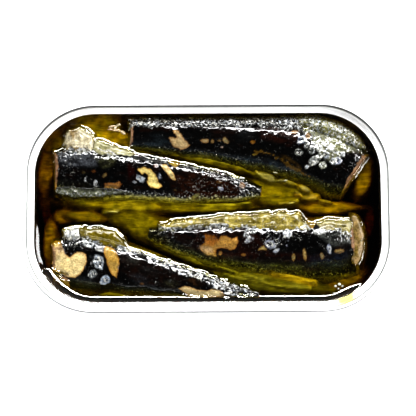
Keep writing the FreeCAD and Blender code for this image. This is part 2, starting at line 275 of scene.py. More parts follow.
# ------------------------------------------------------------------ what shows on each fish
# Places in the tin's plan, in millimetres. A shape is ("poly", points), ("line", half width, points)
# or ("spot", x, y, radius, radius, turn).
SHAPES = {
    "sardine_1": [
        ('silver', ('poly', [(-22.7, 26.7), (-8.2, 26.7), (9.19, 26.99), (26.58, 26.99), (31.22, 26.7), (28.9, 21.77), (20.78, 22.64), (15.57, 23.22), (5.71, 23.22), (-5.3, 23.22), (-16.9, 23.51), (-22.41, 24.09)]), {'n': 0.64, 'grain': 0.85, 'rough': 0.27}),
        ('silver', ('poly', [(12.09, 26.7), (23.68, 26.7), (26.58, 23.51), (23.68, 21.77), (17.88, 22.93), (13.54, 23.51)]), {'n': 0.38, 'grain': 0.6, 'rough': 0.16}),
        ('tint', ('poly', [(13.54, 25.25), (22.23, 24.67), (26.58, 20.03), (23.68, 17.71), (15.57, 20.03)]), {'col': (0.045, 0.014, 0.007), 'w': 0.8}),
        ('tint', ('poly', [(26.58, 26.7), (36.72, 25.25), (41.65, 22.35), (45.71, 17.71), (43.97, 16.26), (39.04, 15.97), (37.59, 12.49), (34.12, 14.23), (31.22, 17.71), (27.74, 22.93)]), {'col': (0.36, 0.36, 0.22), 'w': 0.95, 'soft': 0.9, 'patchy': False}),
        ('silver', ('poly', [(26.58, 26.99), (36.72, 25.25), (41.65, 22.35), (46.29, 17.71), (45.71, 15.39), (41.65, 16.26), (39.04, 15.39), (38.17, 12.49), (35.28, 12.49), (31.8, 15.39), (28.9, 18.29), (26.58, 22.93)]), {'n': 0.62, 'grain': 1.05, 'rough': 0.3, 'col': (0.7, 0.7, 0.6)}),
        ('tint', ('poly', [(31.8, 25.83), (37.3, 24.09), (36.43, 22.35), (32.96, 22.93)]), {'col': (0.42, 0.4, 0.13), 'w': 0.8, 'soft': 0.5}),
        ('tint', ('poly', [(37.59, 23.22), (41.65, 21.77), (40.49, 19.74), (38.17, 20.61)]), {'col': (0.48, 0.44, 0.18), 'w': 0.75, 'soft': 0.5}),
        ('tint', ('poly', [(35.57, 20.03), (39.04, 19.45), (38.75, 15.97), (36.43, 16.55)]), {'col': (0.34, 0.35, 0.14), 'w': 0.7, 'soft': 0.5}),
        ('scale', ('spot', 26.29, 15.97, 1.22, 1.16, 0), {'col': (0.22, 0.23, 0.21)}),
        ('scale', ('spot', 30.64, 13.36, 1.33, 1.22, 0), {'col': (0.38, 0.39, 0.36)}),
        ('scale', ('spot', 33.25, 12.2, 1.04, 1.04, 0), {'col': (0.36, 0.37, 0.28)}),
        ('scale', ('spot', 28.61, 11.62, 0.58, 0.64, 0), {'col': (0.45, 0.45, 0.42)}),
        ('scale', ('spot', 27.16, 19.45, 1.33, 1.16, 0), {'col': (0.36, 0.4, 0.5)}),
        ('scale', ('spot', 37.59, 13.36, 1.33, 1.04, 40), {'col': (0.62, 0.66, 0.82)}),
        ('scale', ('spot', 30.06, 16.55, 1.01, 1.16, 0), {'col': (0.16, 0.17, 0.15)}),
        ('scale', ('spot', 28.61, 18.14, 0.93, 0.99, 0), {'col': (0.34, 0.36, 0.36)}),
        ('scale', ('spot', 32.09, 17.13, 1.04, 1.04, 0), {'col': (0.44, 0.45, 0.4)}),
        ('scale', ('spot', 34.41, 15.1, 1.04, 1.04, 0), {'col': (0.5, 0.52, 0.5)}),
        ('scale', ('spot', 32.38, 14.67, 0.87, 0.87, 0), {'col': (0.4, 0.41, 0.36)}),
        ('scale', ('spot', 36.14, 13.22, 0.93, 0.93, 0), {'col': (0.54, 0.56, 0.54)}),
        ('scale', ('spot', 35.86, 16.84, 1.04, 0.93, 0), {'col': (0.6, 0.61, 0.52)}),
        ('scale', ('spot', 39.04, 15.1, 0.87, 0.75, 0), {'col': (0.56, 0.58, 0.6)}),
        ('scale', ('spot', 29.77, 20.32, 0.87, 0.93, 0), {'col': (0.34, 0.34, 0.32)}),
        ('tint', ('spot', 3.97, 21.77, 2.61, 1.45, -10), {'col': (0.03, 0.012, 0.008), 'w': 0.8, 'soft': 1.0}),
        ('tint', ('spot', -14.0, 20.61, 2.61, 1.16, 0), {'col': (0.02, 0.026, 0.03), 'w': 0.8, 'soft': 1.0}),
        ('tint', ('spot', 10.64, 20.61, 2.32, 1.45, 20), {'col': (0.026, 0.03, 0.032), 'w': 0.8, 'soft': 1.0}),
        ('silver', ('poly', [(-2.41, 18.29), (12.09, 17.71), (23.68, 14.23), (22.52, 13.07), (9.19, 15.68), (-2.41, 17.13)]), {'n': 0.2, 'grain': 0.4, 'rough': 0.06, 'col': (0.3, 0.32, 0.34)}),
        ('flesh', ('poly', [(-10.23, 22.64), (-8.78, 22.64), (-7.62, 21.48), (-7.04, 20.32), (-5.88, 19.16), (-4.87, 18.29), (-5.59, 17.42), (-7.62, 17.13), (-9.65, 17.71), (-10.67, 19.16), (-11.1, 20.46), (-8.78, 20.46)]), {'rag': 0.12, 'col': (0.68, 0.51, 0.27)}),
        ('flesh', ('spot', -0.67, 19.45, 1.04, 0.58, 0), {'col': (0.4, 0.31, 0.16), 'rag': 0.12}),
        ('flesh', ('spot', 1.42, 19.3, 0.43, 0.55, 0), {'col': (0.36, 0.28, 0.13), 'rag': 0.08}),
        ('flesh', ('spot', 5.28, 19.45, 1.16, 0.61, -38), {'col': (0.36, 0.31, 0.17), 'rag': 0.1}),
        ('flesh', ('spot', 3.54, 19.45, 0.58, 0.29, 0), {'col': (0.22, 0.18, 0.09), 'rag': 0.08}),
        ('flesh', ('spot', -4.14, 23.71, 0.87, 0.32, 0), {'col': (0.18, 0.15, 0.07), 'rag': 0.1}),
        ('flesh', ('spot', -0.96, 23.71, 0.87, 0.38, 0), {'col': (0.22, 0.19, 0.1), 'rag': 0.1}),
        ('flesh', ('spot', 13.1, 18.99, 0.67, 0.52, 0), {'col': (0.36, 0.2, 0.03), 'rag': 0.06}),
        ('flesh', ('spot', 13.54, 15.39, 0.75, 0.29, 0), {'col': (0.22, 0.2, 0.05), 'rag': 0.06}),
        ('flesh', ('spot', 21.07, 24.52, 0.64, 0.55, 0), {'col': (0.55, 0.42, 0.3), 'rag': 0.1}),
        ('flesh', ('spot', 25.28, 21.91, 0.93, 0.58, 10), {'col': (0.62, 0.46, 0.3), 'rag': 0.12}),
        ('flesh', ('spot', 29.19, 20.61, 0.75, 0.75, 0), {'col': (0.5, 0.34, 0.17), 'rag': 0.12}),
        ('flesh', ('spot', 8.03, 22.93, 0.26, 0.46, 0), {'col': (0.3, 0.24, 0.13), 'rag': 0.06}),
        ('flesh', ('spot', 4.2, 17.57, 0.38, 0.23, 0), {'col': (0.4, 0.4, 0.42), 'rag': 0.06}),
        ('scale', ('spot', 0.06, 22.64, 0.41, 0.26, 0), {'col': (0.4, 0.42, 0.44)}),
        ('tint', ('line', 0.87, [(-22.12, 19.16), (-16.9, 18.87), (-10.52, 18.87)]), {'col': (0.035, 0.05, 0.058), 'w': 0.9, 'soft': 0.7}),
        ('tint', ('line', 1.01, [(-2.41, 16.26), (6.87, 14.23), (15.57, 13.36), (23.68, 11.04), (29.48, 7.86), (35.28, 4.96), (39.62, 3.22)]), {'col': (0.045, 0.06, 0.07), 'w': 0.9, 'soft': 0.8}),
        ('ridge_and_painted_glint', ('line', 0.23, [(13.83, 16.26), (17.88, 15.68), (20.78, 14.23), (23.68, 11.91), (26.58, 10.46), (29.19, 9.01)]), {'up': 0.05, 'col': (0.22, 0.13, 0.02), 'w': 0.6, 'rag': 0.5}),
        ('tint', ('line', 0.43, [(20.78, 15.39), (24.26, 13.65), (27.74, 10.75)]), {'col': (0.1, 0.06, 0.015), 'w': 0.8, 'soft': 0.4}),
    ],
    "sardine_2": [
        ('silver', ('poly', [(-43.57, 16.84), (-38.64, 17.13), (-32.84, 16.26), (-26.17, 15.97), (-19.8, 15.39), (-12.55, 14.81), (-6.46, 13.94), (1.07, 11.33), (7.74, 9.01), (12.09, 6.12), (15.57, 2.64), (10.64, 3.51), (6.87, 6.7), (-0.96, 9.01), (-8.2, 11.91), (-16.9, 12.49), (-24.14, 12.78), (-31.39, 13.94), (-38.64, 13.36), (-42.99, 13.36)]), {'n': 0.62, 'grain': 0.65, 'rough': 0.18, 'col': (0.55, 0.57, 0.58)}),
        ('tint', ('poly', [(-43.57, 16.55), (-37.19, 17.13), (-31.39, 15.97), (-31.97, 12.49), (-37.19, 11.91), (-42.41, 12.49)]), {'col': (0.16, 0.17, 0.19), 'w': 0.8, 'soft': 0.8}),
        ('tint', ('poly', [(-11.1, 9.59), (-2.41, 10.75), (6.29, 8.43), (10.93, 5.54), (8.03, 2.93), (-2.41, 1.77), (-9.36, 3.8)]), {'col': (0.05, 0.017, 0.007), 'w': 0.9, 'soft': 1.2}),
        ('tint', ('poly', [(-23.28, 13.07), (-20.96, 13.07), (-20.38, 7.86), (-22.7, 7.28)]), {'col': (0.05, 0.006, 0.004), 'w': 0.6, 'soft': 0.6}),
        ('lump', ('poly', [(-40.38, 23.65), (-37.19, 23.94), (-34.29, 23.51), (-32.84, 22.06), (-32.7, 19.74), (-33.42, 17.42), (-36.03, 16.55), (-38.64, 17.42), (-41.25, 18.58), (-42.12, 20.03), (-41.25, 22.06)]), {'up': 0.55, 'rag': 0.25, 'col': (0.66, 0.58, 0.35)}),
        ('lump', ('poly', [(-32.26, 20.75), (-29.07, 19.74), (-25.59, 17.86), (-24.43, 17.13), (-26.17, 15.97), (-29.65, 15.97), (-32.55, 16.55), (-33.42, 18.29)]), {'up': 0.4, 'rag': 0.2, 'col': (0.56, 0.51, 0.28)}),
        ('tint', ('poly', [(-41.25, 19.16), (-38.35, 18.58), (-36.03, 17.42), (-34.29, 16.55), (-37.19, 15.68), (-40.67, 16.55), (-42.41, 17.71)]), {'col': (0.25, 0.27, 0.18), 'w': 0.85, 'soft': 0.5}),
        # the near-white colour of these ridges is a painted highlight along the folds
        ('ridge_and_painted_glint', ('line', 0.23, [(-34.29, 23.22), (-33.13, 21.77), (-32.84, 20.03)]), {'up': 0.35, 'col': (0.9, 0.88, 0.75), 'w': 0.8}),
        ('ridge_and_painted_glint', ('line', 0.22, [(-40.67, 21.62), (-38.64, 21.62), (-36.61, 20.9), (-35.74, 19.45), (-35.45, 17.71), (-36.03, 16.84)]), {'up': 0.3, 'col': (0.9, 0.88, 0.8), 'w': 0.75}),
        ('ridge_and_painted_glint', ('line', 0.23, [(-31.97, 17.13), (-29.65, 16.12), (-28.49, 16.55), (-26.75, 15.39), (-25.59, 15.1)]), {'up': 0.35, 'col': (0.85, 0.85, 0.8), 'w': 0.7}),
        ('tint', ('poly', [(-33.13, 16.55), (-26.17, 15.1), (-26.75, 12.49), (-30.23, 11.33), (-31.97, 13.65)]), {'col': (0.1, 0.1, 0.05), 'w': 0.8, 'soft': 0.5}),
        ('flesh', ('poly', [(-20.38, 11.33), (-18.06, 11.77), (-16.32, 11.19), (-14.87, 9.59), (-14.14, 7.57), (-13.13, 6.41), (-14.29, 5.54), (-16.61, 5.97), (-17.48, 7.28), (-17.04, 9.3), (-18.06, 10.17), (-18.93, 9.59), (-19.51, 10.46)]), {'col': (1.0, 0.82, 0.32), 'rag': 0.12}),
        ('scale', ('spot', -19.36, 8.58, 1.45, 0.93, -30), {'col': (0.66, 0.72, 0.78)}),
        ('scale', ('spot', -21.39, 7.57, 0.64, 0.26, 0), {'col': (0.4, 0.42, 0.45)}),
        ('flesh', ('poly', [(-13.71, 12.49), (-12.26, 12.78), (-10.81, 11.33), (-9.65, 9.59), (-9.07, 8.14), (-10.23, 8.0), (-11.68, 9.88), (-13.13, 11.62)]), {'col': (1.0, 0.84, 0.42), 'rag': 0.12}),
        ('flesh', ('poly', [(-11.68, 13.94), (-9.94, 14.52), (-8.2, 14.23), (-8.2, 12.49), (-9.36, 11.62), (-10.81, 12.78)]), {'col': (0.42, 0.3, 0.05), 'rag': 0.12}),
        ('flesh', ('poly', [(-29.94, 5.54), (-29.8, 6.99), (-28.2, 7.57), (-26.75, 7.28), (-25.59, 7.86), (-24.72, 6.99), (-25.88, 5.68), (-27.91, 5.54)]), {'col': (0.34, 0.19, 0.07), 'rag': 0.15}),
        ('flesh', ('spot', -29.74, 9.59, 0.93, 0.49, 42), {'col': (0.26, 0.21, 0.09), 'rag': 0.08}),
        ('flesh', ('spot', -35.74, 10.46, 0.52, 0.41, 0), {'col': (0.1, 0.08, 0.03), 'rag': 0.08}),
        ('flesh', ('spot', -32.84, 10.67, 0.7, 0.43, 0), {'col': (0.14, 0.07, 0.02), 'rag': 0.08}),
        ('flesh', ('spot', -14.87, 12.2, 0.7, 0.46, 0), {'col': (0.16, 0.06, 0.02), 'rag': 0.08}),
        ('flesh', ('spot', -3.42, 3.51, 1.28, 0.52, 30), {'col': (0.34, 0.35, 0.2), 'rag': 0.12}),
        ('flesh', ('spot', 10.0, 6.41, 0.87, 0.75, -30), {'col': (0.58, 0.42, 0.28), 'rag': 0.12}),
        ('flesh', ('spot', 3.25, 7.42, 0.93, 0.46, 0), {'col': (0.12, 0.07, 0.02), 'rag': 0.1}),
        ('flesh', ('spot', -9.36, 5.25, 0.52, 0.23, 0), {'col': (0.14, 0.12, 0.06), 'rag': 0.06}),
        ('scale', ('spot', 3.68, 5.68, 0.87, 0.64, -30), {'col': (0.4, 0.42, 0.52)}),
        ('scale', ('spot', -13.71, 9.01, 0.52, 0.99, 10), {'col': (0.22, 0.24, 0.3)}),
        ('scale', ('spot', -35.16, 8.43, 0.32, 0.75, -10), {'col': (0.2, 0.2, 0.2)}),
        ('scale', ('spot', -32.41, 7.28, 0.32, 0.7, 0), {'col': (0.24, 0.24, 0.24)}),
        ('scale', ('spot', 7.74, 9.16, 0.99, 0.43, -25), {'col': (0.5, 0.54, 0.5)}),
        ('silver', ('poly', [(8.03, 9.01), (10.93, 7.86), (14.41, 5.54), (15.57, 2.64), (12.09, 1.77), (9.19, 3.8)]), {'n': 0.66, 'grain': 0.6, 'rough': 0.2, 'col': (0.4, 0.42, 0.4)}),
        ('silver', ('poly', [(-42.99, 6.7), (-37.19, 6.12), (-31.39, 5.54), (-25.59, 4.96), (-25.59, 3.22), (-34.29, 2.93), (-41.25, 3.8)]), {'n': 0.44, 'grain': 0.5, 'rough': 0.08, 'col': (0.3, 0.31, 0.26)}),
        ('silver', ('poly', [(-42.99, 9.01), (-40.09, 8.43), (-39.51, 5.54), (-42.41, 5.54)]), {'n': 0.36, 'grain': 0.5, 'rough': 0.1, 'col': (0.4, 0.42, 0.42)}),
        ('silver', ('poly', [(-11.1, 3.22), (1.94, 2.93), (10.64, 3.22), (12.09, 1.48), (1.94, 0.61), (-8.2, 0.61)]), {'n': 0.42, 'grain': 0.6, 'rough': 0.06, 'col': (0.14, 0.15, 0.16)}),
    ],
    "sardine_3": [
        ('tint', ('poly', [(-10.52, -2.58), (3.39, -0.84), (16.43, -0.26), (25.71, 0.03), (27.45, -3.74), (28.9, -6.35), (25.13, -6.06), (17.88, -5.19), (9.19, -4.61), (3.39, -3.74), (-5.3, -4.61), (-10.52, -4.9)]), {'col': (0.46, 0.4, 0.17), 'w': 1.0, 'soft': 0.5, 'patchy': False}),
        ('lump', ('poly', [(8.03, -0.84), (16.43, -0.26), (25.71, 0.03), (27.16, -3.16), (28.32, -5.77), (23.68, -5.48), (15.57, -4.61), (9.19, -3.45)]), {'up': 0.35, 'rag': 0.25, 'col': (0.54, 0.46, 0.17)}),
        ('lump', ('poly', [(31.22, -2.87), (35.28, -2.0), (39.62, -2.14), (41.65, -3.16), (41.94, -6.35), (36.72, -6.35), (32.09, -6.35)]), {'up': 0.35, 'rag': 0.25, 'col': (0.56, 0.48, 0.24)}),
        ('flesh', ('poly', [(26.0, 0.03), (28.9, -0.55), (30.93, -2.58), (31.22, -4.61), (30.06, -6.35), (28.9, -5.48), (27.16, -2.87)]), {'col': (0.44, 0.31, 0.05), 'rag': 0.1}),
        ('silver', ('poly', [(-13.42, -3.45), (-9.36, -2.29), (-2.41, -1.71), (4.55, -1.13), (10.93, -2.0), (12.09, -5.48), (5.71, -5.48), (-2.41, -5.19), (-9.36, -6.35), (-12.84, -5.48)]), {'n': 0.7, 'grain': 0.75, 'rough': 0.22, 'col': (0.72, 0.72, 0.68)}),
        ('silver', ('poly', [(9.19, -4.32), (15.57, -4.32), (23.68, -4.9), (28.9, -6.64), (26.58, -10.12), (22.52, -10.7), (18.46, -12.43), (15.57, -11.28), (13.83, -7.22), (10.93, -6.06)]), {'n': 0.55, 'grain': 0.9, 'rough': 0.2, 'col': (0.66, 0.67, 0.62)}),
        ('silver', ('poly', [(29.48, -6.06), (36.72, -5.48), (41.65, -6.06), (41.65, -10.12), (36.72, -10.12), (32.96, -8.96)]), {'n': 0.62, 'grain': 0.85, 'rough': 0.2, 'col': (0.6, 0.62, 0.58)}),
        ('tint', ('poly', [(31.22, -7.8), (41.07, -6.64), (41.65, -10.7), (35.28, -11.28)]), {'col': (0.2, 0.21, 0.19), 'w': 0.6, 'soft': 0.8}),
        ('scale', ('spot', 11.51, -7.51, 1.16, 1.74, -15), {'col': (0.46, 0.48, 0.5)}),
        ('scale', ('spot', 12.09, -9.25, 1.45, 0.87, 20), {'col': (0.58, 0.6, 0.66)}),
        ('scale', ('spot', 13.25, -6.93, 0.72, 1.16, -30), {'col': (0.4, 0.43, 0.42)}),
        ('scale', ('spot', 17.88, -10.7, 1.59, 1.16, -25), {'col': (0.54, 0.57, 0.68)}),
        ('scale', ('spot', 19.62, -12.43, 1.16, 0.64, 25), {'col': (0.56, 0.6, 0.7)}),
        ('scale', ('spot', 19.62, -6.35, 1.88, 1.01, 0), {'col': (0.8, 0.8, 0.76)}),
        ('scale', ('spot', 22.81, -7.51, 1.16, 1.16, 0), {'col': (0.72, 0.74, 0.76)}),
        ('scale', ('spot', 17.88, -5.19, 1.74, 0.64, 0), {'col': (0.82, 0.82, 0.78)}),
        ('scale', ('spot', 22.52, -10.99, 0.46, 0.52, 0), {'col': (0.34, 0.36, 0.46)}),
        ('scale', ('spot', 31.8, -7.22, 1.74, 0.99, 0), {'col': (0.78, 0.78, 0.74)}),
        ('scale', ('spot', 34.7, -12.14, 0.58, 1.45, 15), {'col': (0.4, 0.43, 0.55)}),
        ('tint', ('poly', [(-3.86, -5.48), (10.64, -5.48), (15.57, -7.8), (17.88, -13.01), (26.58, -13.59), (35.28, -15.33), (26.58, -15.33), (12.09, -15.33), (1.94, -14.17), (-3.57, -11.86)]), {'col': (0.036, 0.011, 0.006), 'w': 0.85, 'soft': 1.2}),
        ('flesh', ('poly', [(-2.26, -10.99), (-0.96, -9.83), (-0.67, -8.38), (0.49, -7.8), (1.65, -8.96), (3.1, -9.25), (3.68, -8.09), (5.13, -8.09), (6.87, -8.96), (8.32, -8.52), (8.75, -9.83), (8.03, -11.86), (6.58, -12.29), (5.71, -11.86), (3.68, -11.71), (2.52, -12.14), (2.38, -13.88), (-0.09, -13.3), (-1.83, -12.43)]), {'rag': 0.14, 'col': (0.54, 0.32, 0.09)}),
        ('tint', ('poly', [(-0.96, -7.8), (1.65, -8.09), (3.1, -9.54), (1.65, -10.99), (-0.67, -10.7)]), {'col': (0.42, 0.17, 0.03), 'w': 0.85, 'soft': 0.6, 'patchy': False}),
        ('tint', ('poly', [(-2.41, -10.99), (1.07, -11.57), (2.23, -13.88), (-0.67, -13.3)]), {'col': (0.62, 0.46, 0.28), 'w': 0.7, 'soft': 0.6, 'patchy': False}),
        ('flesh', ('spot', 3.54, -13.1, 0.46, 0.64, 0), {'col': (0.42, 0.29, 0.12), 'rag': 0.06}),
        ('flesh', ('spot', 10.2, -13.59, 0.75, 0.38, 0), {'col': (0.3, 0.2, 0.07), 'rag': 0.08}),
        ('flesh', ('poly', [(14.41, -12.29), (15.28, -11.13), (16.14, -10.99), (17.01, -12.29)]), {'col': (0.52, 0.43, 0.18), 'rag': 0.08}),
        ('flesh', ('spot', 24.55, -14.41, 0.55, 1.07, 0), {'col': (0.48, 0.39, 0.16), 'rag': 0.06}),
        ('flesh', ('spot', 27.74, -13.59, 0.49, 1.86, 8), {'col': (0.5, 0.4, 0.17), 'rag': 0.06}),
        ('flesh', ('spot', 32.67, -14.03, 0.55, 1.04, 15), {'col': (0.5, 0.42, 0.22), 'rag': 0.06}),
        ('flesh', ('spot', 37.59, -12.67, 1.57, 0.61, 5), {'col': (0.44, 0.36, 0.17), 'rag': 0.08}),
        # the near-white colour of this ridge is a painted highlight along the fold
        ('ridge_and_painted_glint', ('line', 0.22, [(25.42, -0.84), (26.58, -3.16), (28.03, -4.9), (29.19, -6.35)]), {'up': 0.35, 'col': (0.9, 0.9, 0.85), 'w': 0.8}),
        ('silver', ('line', 0.43, [(30.06, -7.22), (30.64, -8.96), (32.38, -10.99), (34.12, -12.72), (34.99, -14.17)]), {'n': 0.8, 'grain': 0.6, 'rough': 0.14}),
        ('tint', ('poly', [(29.48, -14.17), (39.62, -13.01), (40.49, -17.07), (35.86, -21.71), (30.06, -21.71), (28.32, -17.65)]), {'col': (0.028, 0.038, 0.06), 'w': 0.9, 'soft': 1.2}),
        ('silver', ('poly', [(29.48, -15.33), (39.62, -14.17), (39.91, -17.07), (35.28, -21.71), (30.06, -21.71)]), {'n': 0.3, 'grain': 0.5, 'rough': 0.08, 'col': (0.18, 0.21, 0.24)}),
        ('tint', ('line', 0.65, [(14.99, -18.23), (20.78, -19.39), (25.13, -20.12), (30.06, -21.42)]), {'col': (0.5, 0.38, 0.06), 'w': 0.9, 'soft': 0.5}),
        ('tint', ('poly', [(1.94, -15.33), (15.57, -15.91), (26.58, -16.49), (28.32, -19.39), (17.88, -18.23), (7.74, -17.65), (-0.96, -15.33)]), {'col': (0.1, 0.11, 0.045), 'w': 0.9, 'soft': 0.8}),
        ('tint', ('poly', [(0.49, -16.49), (12.09, -18.23), (26.58, -21.71), (26.58, -24.03), (15.57, -22.87), (6.87, -20.55)]), {'col': (0.13, 0.14, 0.14), 'w': 0.9, 'soft': 0.8}),
        ('silver', ('poly', [(-17.48, -3.74), (-13.42, -3.74), (-9.36, -6.64), (-3.57, -10.12), (-5.3, -12.43), (-12.55, -10.7), (-16.9, -8.38)]), {'n': 0.5, 'grain': 0.6, 'rough': 0.1, 'col': (0.26, 0.27, 0.24)}),
    ],
    "sardine_4": [
        ('silver', ('poly', [(-41.25, -4.9), (-37.19, -4.03), (-31.39, -6.64), (-31.39, -12.43), (-36.03, -12.43), (-40.67, -10.7)]), {'n': 0.55, 'grain': 0.8, 'rough': 0.2, 'col': (0.72, 0.73, 0.72)}),
        ('lump', ('poly', [(-37.19, -4.61), (-31.39, -4.61), (-26.46, -5.48), (-24.14, -8.09), (-23.42, -10.12), (-25.59, -11.28), (-29.07, -10.7), (-31.97, -10.12), (-34.87, -8.96), (-36.61, -7.51)]), {'up': 0.45, 'rag': 0.2, 'col': (0.4, 0.33, 0.07)}),
        ('tint', ('poly', [(-37.19, -4.61), (-32.55, -4.61), (-31.97, -8.38), (-34.29, -8.96), (-36.61, -7.8)]), {'col': (0.52, 0.49, 0.28), 'w': 0.85, 'soft': 0.6}),
        ('scale', ('spot', -39.07, -6.35, 1.88, 1.59, 0), {'col': (0.82, 0.83, 0.83)}),
        ('scale', ('spot', -34.29, -10.12, 1.88, 1.16, -10), {'col': (0.78, 0.8, 0.8)}),
        ('scale', ('spot', -29.36, -11.86, 2.75, 1.04, -6), {'col': (0.8, 0.8, 0.78)}),
        ('flesh', ('spot', -35.59, -8.58, 0.58, 0.43, 0), {'col': (0.36, 0.06, 0.01), 'rag': 0.06}),
        ('silver', ('poly', [(-26.17, -10.99), (-21.25, -11.28), (-16.9, -12.72), (-11.68, -14.46), (-6.46, -16.49), (-2.41, -17.65), (1.07, -19.39), (6.87, -21.71), (14.41, -25.19), (11.51, -26.06), (5.71, -25.48), (-0.09, -22.87), (-3.57, -20.55), (-8.2, -19.39), (-14.0, -17.07), (-18.06, -14.17), (-23.28, -13.59), (-26.75, -13.01)]), {'n': 0.74, 'grain': 0.7, 'rough': 0.22, 'col': (0.74, 0.75, 0.74)}),
        ('tint', ('poly', [(-23.28, -8.96), (-19.22, -8.96), (-15.16, -10.99), (-12.26, -13.59), (-14.58, -14.17), (-19.8, -12.43), (-23.28, -11.86)]), {'col': (0.42, 0.37, 0.14), 'w': 0.9, 'soft': 0.4, 'patchy': False}),
        ('silver', ('poly', [(-0.96, -17.65), (1.94, -18.23), (6.87, -20.84), (10.93, -22.29), (14.7, -24.9), (12.09, -26.35), (4.84, -26.06), (1.07, -23.45)]), {'n': 0.66, 'grain': 0.6, 'rough': 0.26, 'col': (0.42, 0.42, 0.38)}),
        ('flesh', ('poly', [(-45.01, -10.7), (-44.14, -9.25), (-42.7, -9.25), (-41.83, -10.7), (-40.96, -13.01), (-39.51, -14.17), (-38.35, -13.16), (-36.61, -12.43), (-34.87, -13.01), (-34.72, -15.33), (-35.74, -17.94), (-38.06, -19.97), (-40.09, -19.68), (-42.41, -18.52), (-44.72, -17.94), (-45.88, -16.49), (-45.59, -13.88)]), {'col': (1.2, 0.97, 0.5), 'rag': 0.12}),
        ('tint', ('poly', [(-45.3, -10.7), (-44.14, -8.96), (-42.12, -9.54), (-41.25, -12.43), (-42.99, -14.17), (-45.3, -13.59)]), {'col': (0.52, 0.33, 0.17), 'w': 0.85, 'soft': 0.6}),
        ('groove', ('line', 0.2, [(-42.99, -18.23), (-41.25, -18.81), (-40.09, -19.1)]), {'up': 0.25, 'col': (0.16, 0.1, 0.03)}),
        ('flesh', ('poly', [(-45.88, -16.78), (-44.14, -18.23), (-41.83, -19.39), (-39.8, -20.26), (-39.8, -22.87), (-41.83, -22.29), (-44.14, -19.97)]), {'col': (0.4, 0.3, 0.21), 'rag': 0.15}),
        ('tint', ('spot', -43.86, -19.1, 0.99, 0.87, 0), {'col': (0.16, 0.17, 0.2), 'w': 0.7, 'soft': 0.5}),
        ('flesh', ('poly', [(-29.65, -10.7), (-27.91, -10.41), (-26.46, -12.43), (-25.45, -14.17), (-25.16, -15.91), (-25.74, -17.94), (-26.17, -19.97), (-27.62, -19.1), (-28.49, -17.07), (-29.07, -14.75), (-29.94, -12.72)]), {'col': (0.8, 0.52, 0.14), 'rag': 0.12}),
        ('scale', ('spot', -31.39, -15.33, 1.45, 2.17, 15), {'col': (0.46, 0.5, 0.54)}),
        ('scale', ('spot', -30.81, -16.49, 0.93, 1.22, 10), {'col': (0.6, 0.66, 0.74)}),
        ('scale', ('spot', -33.13, -18.81, 1.28, 0.99, 20), {'col': (0.36, 0.39, 0.4)}),
        ('scale', ('spot', -29.51, -20.55, 1.45, 1.22, 30), {'col': (0.5, 0.6, 0.74)}),
        ('silver', ('poly', [(-34.29, -13.59), (-30.23, -12.43), (-29.07, -18.23), (-32.55, -20.55), (-34.87, -19.39)]), {'n': 0.42, 'grain': 0.6, 'rough': 0.16, 'col': (0.4, 0.44, 0.46)}),
        ('flesh', ('poly', [(-8.49, -23.16), (-7.04, -22.43), (-5.3, -22.58), (-3.28, -23.45), (-0.38, -23.74), (1.65, -23.16), (3.97, -24.03), (4.84, -25.19), (1.65, -25.77), (-0.96, -26.2), (-5.3, -25.91), (-6.17, -24.61)]), {'col': (0.8, 0.66, 0.36), 'rag': 0.12}),
        ('silver', ('line', 0.46, [(-16.9, -15.33), (-15.74, -15.91), (-14.87, -17.65)]), {'n': 0.7, 'grain': 0.7, 'rough': 0.1}),
        ('silver', ('line', 0.38, [(-16.03, -20.84), (-14.0, -21.71)]), {'n': 0.7, 'grain': 0.6, 'rough': 0.1}),
        ('silver', ('line', 0.43, [(-11.68, -21.71), (-10.52, -21.13), (-9.65, -20.26), (-7.62, -20.84), (-5.88, -20.26)]), {'n': 0.66, 'grain': 0.6, 'rough': 0.1, 'col': (0.45, 0.46, 0.42)}),
        ('flesh', ('spot', -18.93, -21.71, 0.58, 0.38, 0), {'col': (0.3, 0.18, 0.05), 'rag': 0.06}),
        ('tint', ('poly', [(-25.01, -13.01), (-14.0, -16.49), (-6.75, -20.55), (-9.65, -24.03), (-19.8, -21.13), (-25.01, -17.65)]), {'col': (0.03, 0.012, 0.007), 'w': 0.8, 'soft': 1.0}),
        ('tint', ('spot', -21.83, -14.75, 2.32, 1.45, -10), {'col': (0.06, 0.06, 0.052), 'w': 0.8, 'soft': 0.8}),
        ('tint', ('spot', -16.32, -18.23, 2.32, 1.16, -20), {'col': (0.05, 0.052, 0.05), 'w': 0.8, 'soft': 0.8}),
        ('tint', ('spot', -19.8, -20.26, 2.61, 1.16, -10), {'col': (0.052, 0.058, 0.066), 'w': 0.8, 'soft': 0.8}),
        ('tint', ('spot', -10.52, -21.71, 2.03, 1.16, -10), {'col': (0.07, 0.072, 0.04), 'w': 0.8, 'soft': 0.7}),
        ('tint', ('spot', -3.57, -21.42, 2.03, 1.16, -20), {'col': (0.075, 0.035, 0.014), 'w': 0.8, 'soft': 0.7}),
        ('silver', ('poly', [(-23.86, -15.33), (-14.0, -17.07), (-6.46, -20.55), (-2.41, -22.87), (-9.36, -22.87), (-19.8, -21.71), (-24.43, -19.39)]), {'n': 0.22, 'grain': 0.45, 'rough': 0.1, 'col': (0.26, 0.27, 0.27)}),
        ('tint', ('poly', [(-39.51, -20.55), (-36.03, -19.39), (-31.39, -21.71), (-31.97, -23.74), (-37.77, -23.45)]), {'col': (0.05, 0.06, 0.062), 'w': 0.9, 'soft': 0.6}),
        ('tint', ('poly', [(-22.12, -22.29), (-15.16, -22.29), (-14.58, -25.48), (-21.54, -25.48)]), {'col': (0.05, 0.054, 0.062), 'w': 0.9, 'soft': 0.8}),
    ],
}

